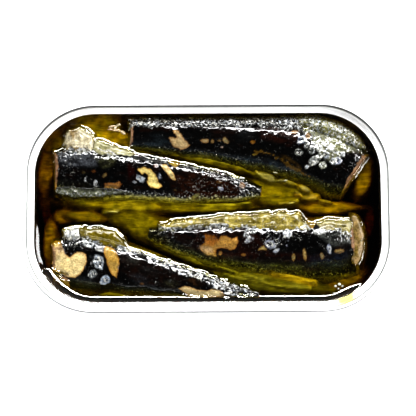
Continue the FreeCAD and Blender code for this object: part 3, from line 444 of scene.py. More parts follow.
# mounds of flesh below the oil: place, half sizes, turn, depth, colour
MOUNDS = [
    (-31.39, 23.8, 11.01, 6.38, -20, 2.5, (1.0, 0.78, 0.36)),
    (-23.86, 25.83, 3.48, 2.61, 0, 4.2, (0.4, 0.3, 0.12)),
    (-47.04, 11.91, 3.19, 9.86, -6, 3.8, (0.5, 0.34, 0.16)),
    (-41.83, 17.13, 4.64, 7.54, 20, 2.6, (0.44, 0.33, 0.16)),
    (-45.88, 19.45, 4.06, 4.06, 40, 3.2, (0.5, 0.36, 0.16)),
    (-35.45, -2.29, 7.54, 2.03, -4, 2.2, (0.28, 0.21, 0.07)),
    (-41.83, -2.0, 3.48, 2.61, 0, 4.0, (0.5, 0.38, 0.15)),
    (-25.59, 1.48, 17.39, 2.61, -4, 1.9, (0.4, 0.36, 0.16)),
    (-19.8, -4.32, 13.33, 4.64, -22, 2.6, (0.3, 0.29, 0.13)),
    (-2.41, 0.32, 17.39, 1.74, 0, 2.2, (0.34, 0.32, 0.12)),
    (19.62, 4.38, 10.43, 4.64, -12, 2.4, (0.36, 0.34, 0.15)),
    (35.28, 0.03, 9.86, 2.32, 0, 2.6, (0.56, 0.42, 0.14)),
    (17.88, -21.71, 20.29, 3.48, -8, 1.7, (0.11, 0.115, 0.09)),
    (39.62, -20.55, 6.38, 3.48, 20, 3.2, (0.42, 0.3, 0.12)),
    (-5.3, -13.59, 13.33, 2.32, -22, 1.6, (0.22, 0.21, 0.09)),
    (-28.49, -23.74, 12.17, 2.32, -6, 1.8, (0.28, 0.27, 0.13)),
    (-5.3, 15.68, 23.19, 2.03, -15, 1.9, (0.3, 0.27, 0.09)),
    (-16.9, 17.13, 9.86, 1.45, -6, 2.2, (0.3, 0.26, 0.09)),
    (45.71, 9.01, 2.9, 6.96, -18, 3.0, (0.5, 0.36, 0.14)),
    (41.07, 25.25, 5.8, 1.74, -38, 4.0, (0.4, 0.26, 0.09)),
    (-45.88, -10.7, 2.61, 7.54, 0, 3.2, (0.5, 0.36, 0.16)),
    (43.97, -10.7, 2.32, 7.54, 0, 3.2, (0.48, 0.36, 0.16)),
    (47.45, -3.74, 2.03, 5.8, 0, 9.5, (0.4, 0.05, 0.03)),
    (-47.62, -1.71, 1.74, 4.64, 0, 9.5, (0.34, 0.07, 0.03)),
    (-8.2, 26.99, 17.39, 1.16, 0, 3.0, (0.26, 0.22, 0.1)),
    (-2.41, -25.77, 17.39, 1.16, 0, 2.4, (0.4, 0.28, 0.1)),
    (17.3, 9.3, 3.48, 1.16, -22, 0.5, (0.26, 0.22, 0.07)),
    (23.1, 7.57, 2.9, 0.87, -14, 0.6, (0.3, 0.25, 0.07)),
    (28.03, 5.54, 2.61, 1.16, -28, 0.6, (0.3, 0.23, 0.06)),
    (29.48, 2.64, 3.19, 0.99, -2, 0.7, (0.3, 0.22, 0.05)),
    (34.12, 1.77, 2.61, 0.87, -12, 0.8, (0.34, 0.25, 0.05)),
]

# loose scraps, and white blobs for bubbles whose white is a painted reflection: place, height over the oil's level,
# half sizes, turn, colour
SCRAPS_AND_BUBBLES = [
    (-27.62, 23.94, 0.1, 0.99, 0.38, 0.35, 10, (0.9, 0.72, 0.46)),
    (-28.2, 23.04, 0.0, 0.87, 0.35, 0.35, 0, (0.7, 0.46, 0.24)),
    (-25.88, 24.38, 0.1, 0.87, 0.41, 0.35, 20, (0.9, 0.76, 0.46)),
    (-26.75, 23.51, 0.2, 0.58, 0.29, 0.4, 50, (1, 0.86, 0.6)),
    (-26.17, 22.78, 0.0, 1.22, 0.46, 0.4, -5, (0.8, 0.58, 0.28)),
    (-24.58, 22.2, 0.1, 0.87, 0.49, 0.4, -40, (0.85, 0.66, 0.38)),
    # white blobs for bubbles in the oil: their white is a painted reflection
    (36.43, -22.72, 0.25, 0.38, 0.38, 0.34, 0, (1.2, 1.25, 1.2)),
    (37.59, -22.14, 0.25, 0.43, 0.43, 0.34, 0, (1.2, 1.25, 1.2)),
    (38.46, -22.72, 0.25, 0.35, 0.35, 0.34, 0, (1.2, 1.25, 1.2)),
    (37.3, -23.45, 0.25, 0.29, 0.29, 0.34, 0, (1.2, 1.25, 1.2)),
    (36.0, -24.9, 0.25, 0.41, 0.41, 0.34, 0, (1.2, 1.25, 1.2)),
    (-27.33, -0.93, -0.1, 1.33, 0.23, 0.25, -6, (0.7, 0.62, 0.12)),
    (23.97, 1.33, -0.1, 0.99, 0.23, 0.25, 8, (0.66, 0.56, 0.1)),
    (19.62, 10.17, 0.05, 0.7, 0.26, 0.3, -10, (0.66, 0.62, 0.44)),
    (22.52, 7.86, 0.1, 0.58, 0.23, 0.3, 10, (0.7, 0.68, 0.5)),
]

# soft lumps: outline, height over the oil, two colours, flecks, roughness
LUMPS = [
    ([(-40.09, 22.78), (-37.48, 23.36), (-34.58, 22.78), (-33.13, 21.48), (-32.84, 19.45), (-33.13, 16.55), (-35.45, 15.1), (-38.35, 15.39), (-40.96, 16.55), (-41.83, 18.87), (-41.25, 21.19)], 1.25, (0.86, 0.78, 0.54), (0.42, 0.3, 0.13), 0.16, 0.26),
    ([(-32.26, 19.88), (-29.07, 19.01), (-25.59, 17.42), (-21.54, 15.97), (-22.12, 14.23), (-27.91, 13.65), (-32.26, 14.52), (-33.71, 17.42)], 0.95, (0.7, 0.66, 0.4), (0.46, 0.44, 0.2), 0.14, 0.18),
    ([(-14.0, -4.9), (-9.36, -4.03), (-5.3, -3.3), (-1.25, -2.87), (3.97, -2.29), (9.19, -2.0), (16.43, -1.71), (22.23, -1.57), (26.29, -1.57), (28.03, -4.03), (29.19, -6.93), (27.16, -8.38), (22.52, -8.38), (15.57, -8.09), (9.19, -7.22), (3.97, -6.64), (-2.41, -6.06), (-8.2, -6.64), (-12.26, -6.35)], 1.05, (0.56, 0.46, 0.11), (0.24, 0.19, 0.03), 0.16, 0.26),
    ([(31.51, -4.32), (35.28, -3.45), (39.62, -3.45), (41.36, -4.03), (41.65, -8.38), (37.01, -8.67), (32.67, -8.38), (30.93, -6.06)], 1.1, (0.52, 0.45, 0.17), (0.3, 0.25, 0.08), 0.24, 0.24),
    ([(-37.19, -5.77), (-31.39, -5.48), (-26.75, -6.35), (-24.43, -8.67), (-23.57, -10.99), (-25.88, -12.43), (-29.65, -12.14), (-32.55, -11.28), (-34.87, -10.12), (-36.9, -8.67)], 1.1, (0.27, 0.21, 0.012), (0.18, 0.14, 0.008), 0.01, 0.18),
    ([(-41.25, -6.64), (-39.22, -5.48), (-36.9, -5.48), (-36.32, -8.38), (-37.19, -9.83), (-40.09, -9.54), (-41.25, -8.09)], 1.0, (0.62, 0.62, 0.56), (0.46, 0.47, 0.42), 0.6, 0.3),
    ([(-22.41, 25.97), (-8.2, 26.12), (9.19, 26.26), (26.58, 26.26), (28.32, 21.77), (15.57, 22.93), (5.71, 22.78), (-5.3, 22.93), (-16.9, 23.07), (-22.41, 23.51)], 1.45, (0.006, 0.006, 0.006), (0.022, 0.022, 0.022), 0.5, 0.8),
    ([(26.0, 26.55), (30.93, 26.7), (36.72, 25.25), (41.36, 22.93), (45.13, 19.16), (46.0, 16.84), (41.65, 17.42), (36.43, 20.32), (30.06, 22.93), (26.0, 23.8)], 1.35, (0.38, 0.37, 0.12), (0.14, 0.14, 0.06), 0.5, 0.5),
    ([(41.36, -2.0), (42.81, -2.58), (44.26, -4.61), (44.99, -7.8), (44.84, -11.86), (44.12, -15.04), (42.52, -16.78), (41.36, -15.33), (41.65, -8.96)], 0.42, (0.62, 0.44, 0.22), (0.34, 0.24, 0.06), 0.02, 0.1),
    ([(-43.86, 6.7), (-37.19, 6.41), (-28.49, 5.83), (-20.38, 5.54), (-20.96, 4.23), (-27.91, 3.8), (-34.87, 3.22), (-40.67, 3.65), (-43.86, 4.67)], 0.17, (0.17, 0.18, 0.12), (0.06, 0.06, 0.04), 0.38, 0.2),
]

# folds of skin under the oil: half width, line, depth, colour
FOLDS = [
    (0.32, [(14.12, 10.75), (15.57, 9.01), (18.46, 7.57), (20.78, 7.86)], 0.25, (0.46, 0.4, 0.2)),
    (0.29, [(21.07, 8.14), (23.68, 6.7), (25.71, 6.7)], 0.3, (0.44, 0.38, 0.14)),
    (0.29, [(25.42, 4.67), (27.74, 3.22), (30.64, 3.8)], 0.35, (0.4, 0.3, 0.08)),
    (0.64, [(25.42, 3.8), (28.9, 2.93), (31.8, 3.51)], 1.0, (0.44, 0.3, 0.07)),
    (0.46, [(-29.94, -1.13), (-27.91, -0.84), (-25.88, -0.55)], 0.5, (0.6, 0.5, 0.12)),
    (0.46, [(20.78, 1.19), (23.68, 1.48), (26.0, 2.06)], 0.6, (0.56, 0.44, 0.1)),
    (1.45, [(14.41, -17.94), (20.78, -19.1), (25.42, -20.26), (30.35, -21.71)], 1.25, (0.5, 0.38, 0.08)),
    (0.52, [(-27.91, 3.22), (-19.8, 2.35), (-9.36, 1.77), (1.65, 0.9), (12.09, 1.48)], 1.2, (0.36, 0.34, 0.12)),
    (0.52, [(1.65, 3.8), (12.09, 2.93), (20.78, 3.8)], 1.4, (0.34, 0.3, 0.1)),
    (0.46, [(4.55, -19.1), (12.09, -20.84), (20.78, -22.58), (29.48, -23.45)], 0.9, (0.3, 0.29, 0.12)),
    (0.46, [(2.23, -16.49), (9.19, -19.1), (15.57, -20.84)], 1.0, (0.26, 0.26, 0.12)),
    (0.46, [(-14.0, 16.55), (-2.41, 14.81), (8.03, 12.49), (15.57, 9.01)], 1.2, (0.3, 0.28, 0.12)),
]



def shape_sdf(x, y, shape):
    kind = shape[0]
    if kind == "poly":
        return sdf_poly(x, y, shape[1])
    if kind == "line":
        return sdf_line(x, y, shape[2], shape[1])
    return sdf_spot(x, y, *shape[1:])


# ------------------------------------------------------------------ fish
# Centre line in plan from the head cut to the tail, then stations (share of the length, half width,
# half depth, top), the roll of the section, and the slant of the cut at each end.
FISH = {
    "sardine_1": dict(line=[(43.9, 9.0), (31.2, 17.7), (1.3, 21.5), (-23.3, 22.3)],
                      stations=[(0.0, 8.3, 9.6, 22.9), (0.14, 10.2, 10.6, 23.3), (0.34, 9.2, 10.2, 23.4),
                                (0.62, 7.2, 9.0, 23.2), (1.0, 5.2, 6.6, 22.9)], roll=7.0, cut=(2.0, 1.4), seed=11, belly=1.0, grainy=0.33),
    "sardine_2": dict(line=[(-45.6, 11.2), (-28.5, 11.9), (-2.0, 7.4), (15.7, 4.6)],
                      stations=[(0.0, 7.6, 9.2, 22.7), (0.17, 9.9, 10.5, 23.3), (0.42, 8.0, 9.8, 23.4),
                                (0.76, 5.4, 7.2, 22.8), (1.0, 1.7, 3.0, 21.6)], roll=11.0, cut=(2.0, 0.3), seed=23, belly=2.3, grainy=0.42, front=4.2),
    "sardine_3": dict(line=[(44.0, -11.3), (26.0, -12.6), (3.0, -10.6), (-17.4, -6.6)],
                      stations=[(0.0, 9.0, 9.8, 22.8), (0.16, 10.6, 10.7, 23.4), (0.46, 10.0, 10.3, 23.5),
                                (0.74, 6.6, 7.8, 23.0), (1.0, 1.9, 3.0, 21.5)], roll=15.0, cut=(2.4, 0.3), seed=37, belly=1.4, grainy=0.36, front=3.6),
    "sardine_4": dict(line=[(-46.0, -15.0), (-30.0, -14.6), (-8.0, -21.0), (14.8, -25.0)],
                      stations=[(0.0, 7.4, 9.2, 22.6), (0.17, 10.5, 10.6, 23.4), (0.46, 7.9, 9.6, 23.4),
                                (0.76, 4.3, 6.6, 22.9), (1.0, 1.3, 2.6, 22.1)], roll=12.0, cut=(1.8, 0.3), seed=53),
}
SECTION_BACK, SECTION_FRONT = 4.2, 2.9
FISH_FLOOR = 1.9
NT, NA, NCAP = 250, 150, 12

BLACK = (0.0056, 0.0052, 0.0050)
BROWN = (0.034, 0.012, 0.006)
BLUE = (0.034, 0.044, 0.048)
SILVER = (0.62, 0.63, 0.60)
BELLY = (0.34, 0.33, 0.22)
CREAM = (0.72, 0.61, 0.36)
TAN = (0.56, 0.38, 0.19)
ORANGE = (0.40, 0.17, 0.045)
PINK = (0.42, 0.28, 0.18)
GOLD = (0.52, 0.38, 0.10)
SHADE = 0.315            # every colour of the food is turned down by this


def bezier(line, t):
    a, b, c, d = [np.array(p, float) for p in line]
    t = np.asarray(t)[:, None]
    s = 1 - t
    p = a * s ** 3 + b * 3 * s * s * t + c * 3 * s * t * t + d * t ** 3
    q = (b - a) * 3 * s * s + (c - b) * 6 * s * t + (d - c) * 3 * t * t
    return p, q / np.linalg.norm(q, axis=1, keepdims=True)


def stations_at(stations, t):
    xs = np.array([s[0] for s in stations])
    out = []
    for k in (1, 2, 3):
        ys = np.array([s[k] for s in stations], float)
        n = len(xs)
        sl = np.diff(ys) / np.diff(xs)
        m = [sl[0]] + [0.0 if sl[i - 1] * sl[i] <= 0 else 2 * sl[i - 1] * sl[i] / (sl[i - 1] + sl[i])
                       for i in range(1, n - 1)] + [sl[-1]]
        m = np.array(m)
        i = np.clip(np.searchsorted(xs, t, side="right") - 1, 0, n - 2)
        h = xs[i + 1] - xs[i]
        u = (t - xs[i]) / h
        out.append(ys[i] * (1 + 2 * u) * (1 - u) ** 2 + m[i] * h * u * (1 - u) ** 2
                   + ys[i + 1] * u * u * (3 - 2 * u) + m[i + 1] * h * u * u * (u - 1))
    return out


def lean(below):
    """How far back a cut stands at a height below the top, 0 deep down to 1 at the top."""
    return 0.72 * np.clip((below + 7.5) / 7.5, 0, 1) + 0.28 * np.clip((below + 1.2) / 1.2, 0, 1)


def grid_normals(p):
    """Outward normals of a tube of rings p (rings, points, 3)."""
    du = np.gradient(p, axis=0)
    dv = np.roll(p, -1, 1) - np.roll(p, 1, 1)
    n = np.cross(dv, du)
    n /= np.linalg.norm(n, axis=2, keepdims=True) + 1e-12
    mid = p.mean(1, keepdims=True)
    if ((p - mid) * n).sum() < 0:
        n = -n
    return n


def fish_mesh(name):
    f = FISH[name]
    t = np.linspace(0, 1, NT)
    p, along = bezier(f["line"], t)
    hw, hd, top = stations_at(f["stations"], t)
    side = np.stack([-along[:, 1], along[:, 0]], 1)
    side *= np.where(side[:, 1:2] < 0, -1, 1)
    # points evenly spaced round each section, closer together over the top, which is what shows
    a = np.linspace(0, 2 * np.pi, 1441)
    ca, sa = np.cos(a), np.sin(a)
    power = np.where(ca > 0, SECTION_BACK, f.get("front", SECTION_FRONT))
    su = np.sign(ca) * np.abs(ca) ** (2 / power)
    sv = np.sign(sa) * np.abs(sa) ** (2 / power)
    u, v = np.empty((NT, NA)), np.empty((NT, NA))
    for k in range(NT):
        ku, kv = su * hw[k], sv * hd[k]
        part = np.hypot(np.diff(ku), np.diff(kv)) * np.where(sa[1:] + sa[:-1] > -0.3, 1.0, 0.22)
        run = np.concatenate([[0], np.cumsum(part)])
        want = np.arange(NA) / NA * run[-1]
        u[k], v[k] = np.interp(want, run, ku), np.interp(want, run, kv)
    r = math.radians(f["roll"])
    uu = u * math.cos(r) - v * math.sin(r)
    vv = u * math.sin(r) + v * math.cos(r)
    high, low = vv.max(1, keepdims=True), vv.min(1, keepdims=True)
    wide = (uu.max(1, keepdims=True) + uu.min(1, keepdims=True)) / 2
    sq = np.minimum(1.0, (top[:, None] - FISH_FLOOR) / (high - low))
    uc = uu - wide
    P = np.empty((NT, NA, 3))
    P[..., 0] = p[:, None, 0] + side[:, None, 0] * uc
    P[..., 1] = p[:, None, 1] + side[:, None, 1] * uc
    P[..., 2] = top[:, None] + (vv - high) * sq
    # the fish is placed in the box that the tin's frame gives it
    lo, hi = [np.array(w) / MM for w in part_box(name)]
    for k in (0, 1):
        m0, m1 = P[..., k].min(), P[..., k].max()
        P[..., k] = lo[k] + (P[..., k] - m0) * (hi[k] - lo[k]) / (m1 - m0)
    length = np.concatenate([[0], np.cumsum(np.linalg.norm(np.diff(p, axis=0), axis=1))])
    s_mm = np.repeat(length[:, None], NA, 1)
    c_mm = uc.copy()
    width = hw[:, None] * np.ones((1, NA))
    # the cuts slant back towards the top, first gently and then more
    for end, slant in ((0, f["cut"][0]), (1, f["cut"][1])):
        dist = s_mm if end == 0 else length[-1] - s_mm
        g = lean(P[..., 2] - top[:, None])
        w = np.clip(1 - dist / 7.0, 0, 1)
        move = slant * g * w * (1 if end == 0 else -1)
        P[..., 0] += along[:, None, 0] * move
        P[..., 1] += along[:, None, 1] * move
    n = grid_normals(P)
    # caps: rings that shrink to the middle of each cut
    caps = []
    for end in (0, 1):
        ring = P[0 if end == 0 else -1]
        al = along[0 if end == 0 else -1] * (1 if end == 0 else -1)
        tp = top[0 if end == 0 else -1]
        slant = f["cut"][end]
        cz = (ring[:, 2].max() + ring[:, 2].min()) / 2
        base = (p[0] if end == 0 else p[-1])
        rows = []
        for k in range(1, NCAP + 1):
            fr = 1 - (k / (NCAP + 0.5)) ** 1.0
            z = cz + (ring[:, 2] - cz) * fr
            g0 = lean(ring[:, 2] - tp)
            g1 = lean(z - tp)
            flat = ring[:, :2] - al * (slant * g0)[:, None]
            mid = flat.mean(0)
            xy = mid + (flat - mid) * fr + al * (slant * g1)[:, None]
            rows.append(np.column_stack([xy, z]))
        caps.append((np.array(rows), al))
    return f, P, n, s_mm, c_mm, width, length, top, along, caps


solids_above = []       # what the oil's surface has to meet


def build_fish(name):
    f, P, n, s_mm, c_mm, width, length, top, along, caps = fish_mesh(name)
    seed = f["seed"]
    body = P.reshape(-1, 3)
    nrm = n.reshape(-1, 3)
    cap0, al0 = caps[0]
    cap1, al1 = caps[1]
    allp = np.vstack([body, cap0.reshape(-1, 3), cap1.reshape(-1, 3)])
    capn = lambda c, al: np.tile(np.array([-al[0], -al[1], 0.0]), (c.shape[0] * c.shape[1], 1))
    alln = np.vstack([nrm, capn(cap0, al0), capn(cap1, al1)])
    nb, n0, n1 = len(body), cap0.shape[0] * NA, cap1.shape[0] * NA
    is_cap = np.zeros(len(allp))
    is_cap[nb:] = 1
    s = np.concatenate([s_mm.ravel(), np.zeros(n0), np.full(n1, length[-1])])
    c = np.concatenate([c_mm.ravel(), np.tile(c_mm[0], cap0.shape[0]), np.tile(c_mm[-1], cap1.shape[0])])
    wd = np.concatenate([width.ravel(), np.tile(width[0], cap0.shape[0]), np.tile(width[-1], cap1.shape[0])])
    cn = c / wd
    x, y, z = allp.T
    tex = np.column_stack([s, c, z * 0.6])            # along, across, down
    tp = np.concatenate([np.repeat(top, NA), np.full(n0, top[0]), np.full(n1, top[-1])])
    down = tp - z                                     # below the fish's own top
    upper = step(-0.2, 0.25, alln[:, 2])

    # ---- colours of the skin
    k1 = fbm(tex * [0.45, 1, 1], 2.4, 4, seed)
    k2 = fbm(tex, 0.9, 3, seed + 5)
    k3 = fbm(tex * [0.35, 1.4, 1], 1.1, 3, seed + 9)
    col = np.tile(np.array(BLACK), (len(allp), 1))
    col = mixc(col, BROWN, step(0.15, 0.9, k1) * 0.55)
    col = mixc(col, BLUE, step(0.35, 1.0, k2) * 0.22)
    lift = 0.30 * fbm(allp, 9.0, 2, seed + 20) + 0.10 * fbm(tex * [0.6, 1, 1], 2.6, 2, seed + 21)
    lift += 0.035 * fbm(tex * [0.6, 1, 1], 0.9, 2, seed + 22)
    lift += 0.085 * step(0.15, 0.45, cn) * fbm(tex * [0.7, 1, 1], 0.8, 2, seed + 24)
    gloss = np.full(len(allp), 0.20)
    metal = np.zeros(len(allp))
    wet = np.ones(len(allp))
    fleck = np.clip(0.10 + 0.22 * step(0.0, 0.9, fbm(tex * [0.6, 1, 1], 4.5, 2, seed + 15)) + 0.06 * k2, 0.02, 0.40)

    # the flank that faces the front: a dotted blue-grey band, then the silvery belly under the oil
    edge = cn + 0.10 * k1
    flank = step(-0.50, -0.72, edge)
    dots = step(-0.1, 0.5, k2 + 0.5 * k3)
    col = mixc(col, np.array(BLUE) * 1.1, flank * (0.35 + 0.5 * dots))
    under = step(-0.74, -0.90, edge)
    col = mixc(col, np.array(BELLY) * f.get("belly", 1.0), under * (0.45 + 0.55 * dots))
    fleck = np.maximum(fleck, f.get("grainy", 0.0) * step(-0.40, -0.70, edge) * step(-1.2, -0.9, edge))
    # the flank that faces the back, below its shoulder
    flank_n = step(0.80, 0.95, cn + 0.06 * k1)
    col = mixc(col, np.array(BELLY) * 1.15, flank_n * 0.8)
    # lower down everything is belly
    low = step(3.2, 5.5, down)
    col = mixc(col, np.array(BELLY) * (0.9), low * 0.8)

    for item in SHAPES.get(name, []):
        kind, shape = item[0], item[1]
        opt = item[2] if len(item) > 2 else {}
        rag = opt.get("rag", 0.22)
        d = shape_sdf(x, y, shape)
        far = d < 3.0
        if not far.any():
            continue
        d = d + rag * (1.1 * fbm(allp, 1.3, 3, seed + 31) + 0.8 * k2)
        m = step(0.10, -0.10, d) * upper
        if kind == "flesh":
            base = np.array(opt.get("col", TAN))
            tone = fbm(tex * [0.5, 1.3, 1], 2.2, 3, seed + 41)
            cc = np.clip(base * (1 + 0.22 * tone[:, None]) + np.array([0.03, 0.0, -0.02]) * k3[:, None], 0, 3)
            rim = step(0.0, 0.55, -d)                     # redder and darker just inside the torn edge
            cc = mixc(cc * np.array((0.72, 0.55, 0.42)), cc, rim)
            cc = mixc(cc, cc * 1.5, step(0.55, 1.1, tone + 0.4 * k2) * 0.7)
            wet = wet * (1 - m) + m * 0.45
            col = col * (1 - m[:, None]) + cc * m[:, None]
            lift += m * (0.02 + 0.16 * tone + 0.08 * k3) + 0.08 * np.exp(-((d - 0.15) / 0.14) ** 2) * upper
            gloss = gloss * (1 - m) + m * 0.30
            fleck = fleck * (1 - m)
        elif kind == "lump":
            base = np.array(opt.get("col", CREAM))
            tone = fbm(tex, 2.0, 4, seed + 43)
            soft = step(0.0, -1.6, d)
            cc = np.clip(base * (1 + 0.25 * tone[:, None]), 0, 3)
            wet = wet * (1 - m) + m * 0.5
            col = col * (1 - m[:, None]) + cc * m[:, None]
            lift += m * opt.get("up", 0.5) * np.sqrt(np.clip(soft, 0, 1)) + m * 0.10 * tone
            gloss = gloss * (1 - m) + m * 0.22
            fleck = fleck * (1 - m) + m * opt.get("fleck", 0.2)
        elif kind == "scale":
            base = np.array(opt.get("col", (0.62, 0.68, 0.80)))
            # painted highlight: a brighter band round each scale's rim, which also lifts the rim a little
            ring = np.exp(-((d + 0.22) / 0.20) ** 2)
            spoke = fbm(allp, 0.75, 2, seed + 33)
            cc = np.clip(base * (0.45 + 0.75 * ring + 0.45 * spoke)[:, None], 0, 1)
            col = col * (1 - m[:, None]) + cc * m[:, None]
            lift += m * (0.06 + 0.10 * ring + 0.16 * spoke)
            fleck = fleck * (1 - m) + m * 0.50
            metal = metal * (1 - m) + m * 0.20
        elif kind == "silver":
            # flecks of silver skin, thick in the middle of the shape
            want = opt.get("n", 0.5)
            grain = opt.get("grain", 0.75)
            g = fbm(tex * [0.7, 1, 1], grain, 3, seed + 51)
            cover = step(0.5, -0.8, d)
            w = step(1.0 - want * 1.6, 1.0 - want * 1.6 + 0.5, g + 0.25 * k3) * cover * upper
            base = np.array(opt.get("col", SILVER))
            dull = base / max(base.max(), 1e-3) * 0.10
            col = mixc(col, dull, w * 0.5)
            fleck = np.maximum(fleck, cover * upper * (0.18 + want * 0.62 * (0.35 + 0.65 * w)) * base.max() / 0.63)
            lift += cover * upper * opt.get("rough", 0.16) * g
            metal = metal * (1 - w) + w * 0.20
            gloss = gloss * (1 - w) + w * 0.24
        elif kind == "tint":
            w = step(opt.get("soft", 0.8), -opt.get("soft", 0.8), d) * opt.get("w", 0.8) * upper
            w = w * (0.25 + 0.75 * step(-0.35, 0.45, k3 + 0.8 * k2)) if opt.get("patchy", True) else w
            col = mixc(col, np.array(opt["col"]), w)
        elif kind == "ridge_and_painted_glint":
            w = np.exp(-(np.clip(d, 0, None) / 0.16) ** 2) * upper
            lift += w * opt.get("up", 0.28)
            # a near-white colour is a painted highlight along the fold; a darker colour is the ridge's own
            if "col" in opt:
                col = mixc(col, np.array(opt["col"]), w * opt.get("w", 0.8))
        elif kind == "groove":
            w = np.exp(-(np.clip(d, 0, None) / 0.22) ** 2) * upper
            lift -= w * opt.get("up", 0.4)
            if "col" in opt:
                col = mixc(col, np.array(opt["col"]), w * opt.get("w", 0.8))

    # the cut faces: cooked flesh of varied tone, turning olive further below the fish's top
    ck = fbm(allp, 1.3, 4, seed + 61)
    face = np.zeros(len(allp))
    face[nb:] = 1.0
    nearcut = step(0.95, 0.45, s + 0.35 * k2 + 0.2 * k3) if f["cut"][0] > 1 else np.zeros(len(allp))
    face = np.maximum(face, nearcut * 0.9)
    if f["cut"][1] > 1:
        face = np.maximum(face, step(0.8, 0.35, length[-1] - s + 0.35 * k2 + 0.2 * k3) * 0.9)
    fc = np.clip(np.array(f.get("face", (0.50, 0.30, 0.17))) * (1 + 0.45 * ck[:, None]), 0, 1)
    fc = mixc(fc, np.array((0.42, 0.34, 0.15)), step(0.8, 2.6, down))
    col = col * (1 - face[:, None]) + fc * face[:, None]
    fleck = fleck * (1 - face)
    lift = np.where(is_cap > 0, 0.22 * ck, lift)
    gloss = np.where(face > 0.5, 0.3, gloss)
    wet = wet * (1 - 0.75 * np.clip(face, 0, 1))

    out = allp + alln * lift[:, None]
    out[:, 2] = np.clip(out[:, 2], FISH_FLOOR - 0.3, TOP_Z - 0.6)
    # nothing passes through the can's wall
    dd = oblong_sdf(out[:, 0], out[:, 1], WALL_IN + 0.35)
    over = np.clip(dd, 0, None)
    if (over > 0).any():
        gx = oblong_sdf(out[:, 0] + 0.01, out[:, 1], WALL_IN + 0.35) - dd
        gy = oblong_sdf(out[:, 0], out[:, 1] + 0.01, WALL_IN + 0.35) - dd
        gl = np.hypot(gx, gy) + 1e-9
        out[:, 0] -= over * gx / gl
        out[:, 1] -= over * gy / gl

    faces = []
    idx = np.arange(NT * NA).reshape(NT, NA)
    a0, b0 = idx[:-1], idx[1:]
    q = np.stack([a0, np.roll(a0, -1, 1), np.roll(b0, -1, 1), b0], -1).reshape(-1, 4)
    faces += q.tolist()

    def cap_faces(ring, start, rows, flip):
        cur = ring
        res = []
        for k in range(rows):
            nxt = np.arange(start + k * NA, start + (k + 1) * NA)
            quad = np.stack([cur, nxt, np.roll(nxt, -1), np.roll(cur, -1)], -1)
            res += (quad[:, ::-1] if flip else quad).tolist()
            cur = nxt
        return res, cur
    f0, last0 = cap_faces(idx[0], nb, cap0.shape[0], True)
    f1, last1 = cap_faces(idx[-1], nb + n0, cap1.shape[0], False)
    m0, m1 = len(out), len(out) + 1
    out = np.vstack([out, out[last0].mean(0), out[last1].mean(0)])
    faces += f0 + f1
    faces += [[int(m0), int(last0[(i + 1) % NA]), int(last0[i])][::-1] for i in range(NA)]
    faces += [[int(m1), int(last1[i]), int(last1[(i + 1) % NA])][::-1] for i in range(NA)]
    col = np.vstack([col, col[last0].mean(0), col[last1].mean(0)])
    pad = lambda v: np.concatenate([v, [v[last0].mean(), v[last1].mean()]])
    ob = make_mesh(name + "_look", out, faces,
                   attrs=dict(gloss=pad(gloss), metal=pad(metal), fleck=pad(fleck), wet=pad(wet)),
                   colours=dict(col=np.clip(col * SHADE, 0, 1)))
    bm_fix(ob)
    solids_above.append(ob)
    return ob


def bm_fix(ob):
    """Faces turned outwards."""
    import bmesh
    bm = bmesh.new()
    bm.from_mesh(ob.data)
    bmesh.ops.recalc_face_normals(bm, faces=bm.faces)
    bm.to_mesh(ob.data)
    bm.free()


# ------------------------------------------------------------------ materials
def fish_material():
    m = Nodes("fish_skin_and_flesh")
    co = m.coords()
    col = m.attr("col", "Color")
    fine = m.noise(co, 2400, 3.0, 0.6)
    big = m.noise(co, 750, 3.0, 0.55)
    k = m.math("MULTIPLY", m.range(fine, 0.3, 0.7, 0.50, 1.45), m.range(big, 0.3, 0.7, 0.75, 1.25))
    v = m.new("ShaderNodeVectorMath", operation="SCALE")
    m.put(v.inputs[0], col)
    m.put(v.inputs["Scale"], k)
    # flecks of silver skin, as thick as the mesh says
    grain = m.math("ADD", m.math("MULTIPLY", m.noise(co, 1500, 2.0, 0.65), 0.75),
                   m.math("MULTIPLY", m.noise(co, 3300, 1.0, 0.5), 0.25))
    fleck = m.attr("fleck")
    edge = m.math("SUBTRACT", grain, m.range(fleck, 0.0, 1.0, 0.66, 0.36))
    w = m.range(edge, 0.0, 0.035, 0.0, 1.0, smooth=True)
    bright = m.range(fleck, 0.26, 0.56, 0.14, 1.15, smooth=True)
    tone = m.noise(co, 1100, 2.0, 0.6)
    shine = m.mix(m.range(tone, 0.35, 0.65), (0.19, 0.21, 0.24), (0.44, 0.43, 0.38))
    sv = m.new("ShaderNodeVectorMath", operation="SCALE")
    m.put(sv.inputs[0], shine)
    m.put(sv.inputs["Scale"], bright)
    base = m.mix(w, v.outputs[0], sv.outputs[0])
    h = m.math("ADD", big, m.math("MULTIPLY", w, 0.35))
    rough = m.math("MULTIPLY", m.attr("gloss"), m.range(fine, 0.25, 0.75, 0.8, 1.5))
    metal = m.math("MAXIMUM", m.attr("metal"), m.math("MULTIPLY", w, 0.35))
    p = m.principled(Base_Color=base, Roughness=rough, Normal=m.bump(h, 0.35, 0.00022), Metallic=metal, IOR=1.47)
    p.inputs["Specular IOR Level"].default_value = 0.15
    m.put(p.inputs["Coat Weight"], m.attr("wet"))
    p.inputs["Coat Roughness"].default_value = 0.04
    p.inputs["Coat IOR"].default_value = 1.55
    hc = m.math("ADD", m.noise(co, 900, 1.0, 0.5), m.math("MULTIPLY", w, m.range(fleck, 0.3, 0.6, 0.0, 0.6)))
    m.put(p.inputs["Coat Normal"], m.bump(hc, 0.16, 0.0003))
    m.put(m.out.inputs["Surface"], p.outputs[0])
    return m.mat


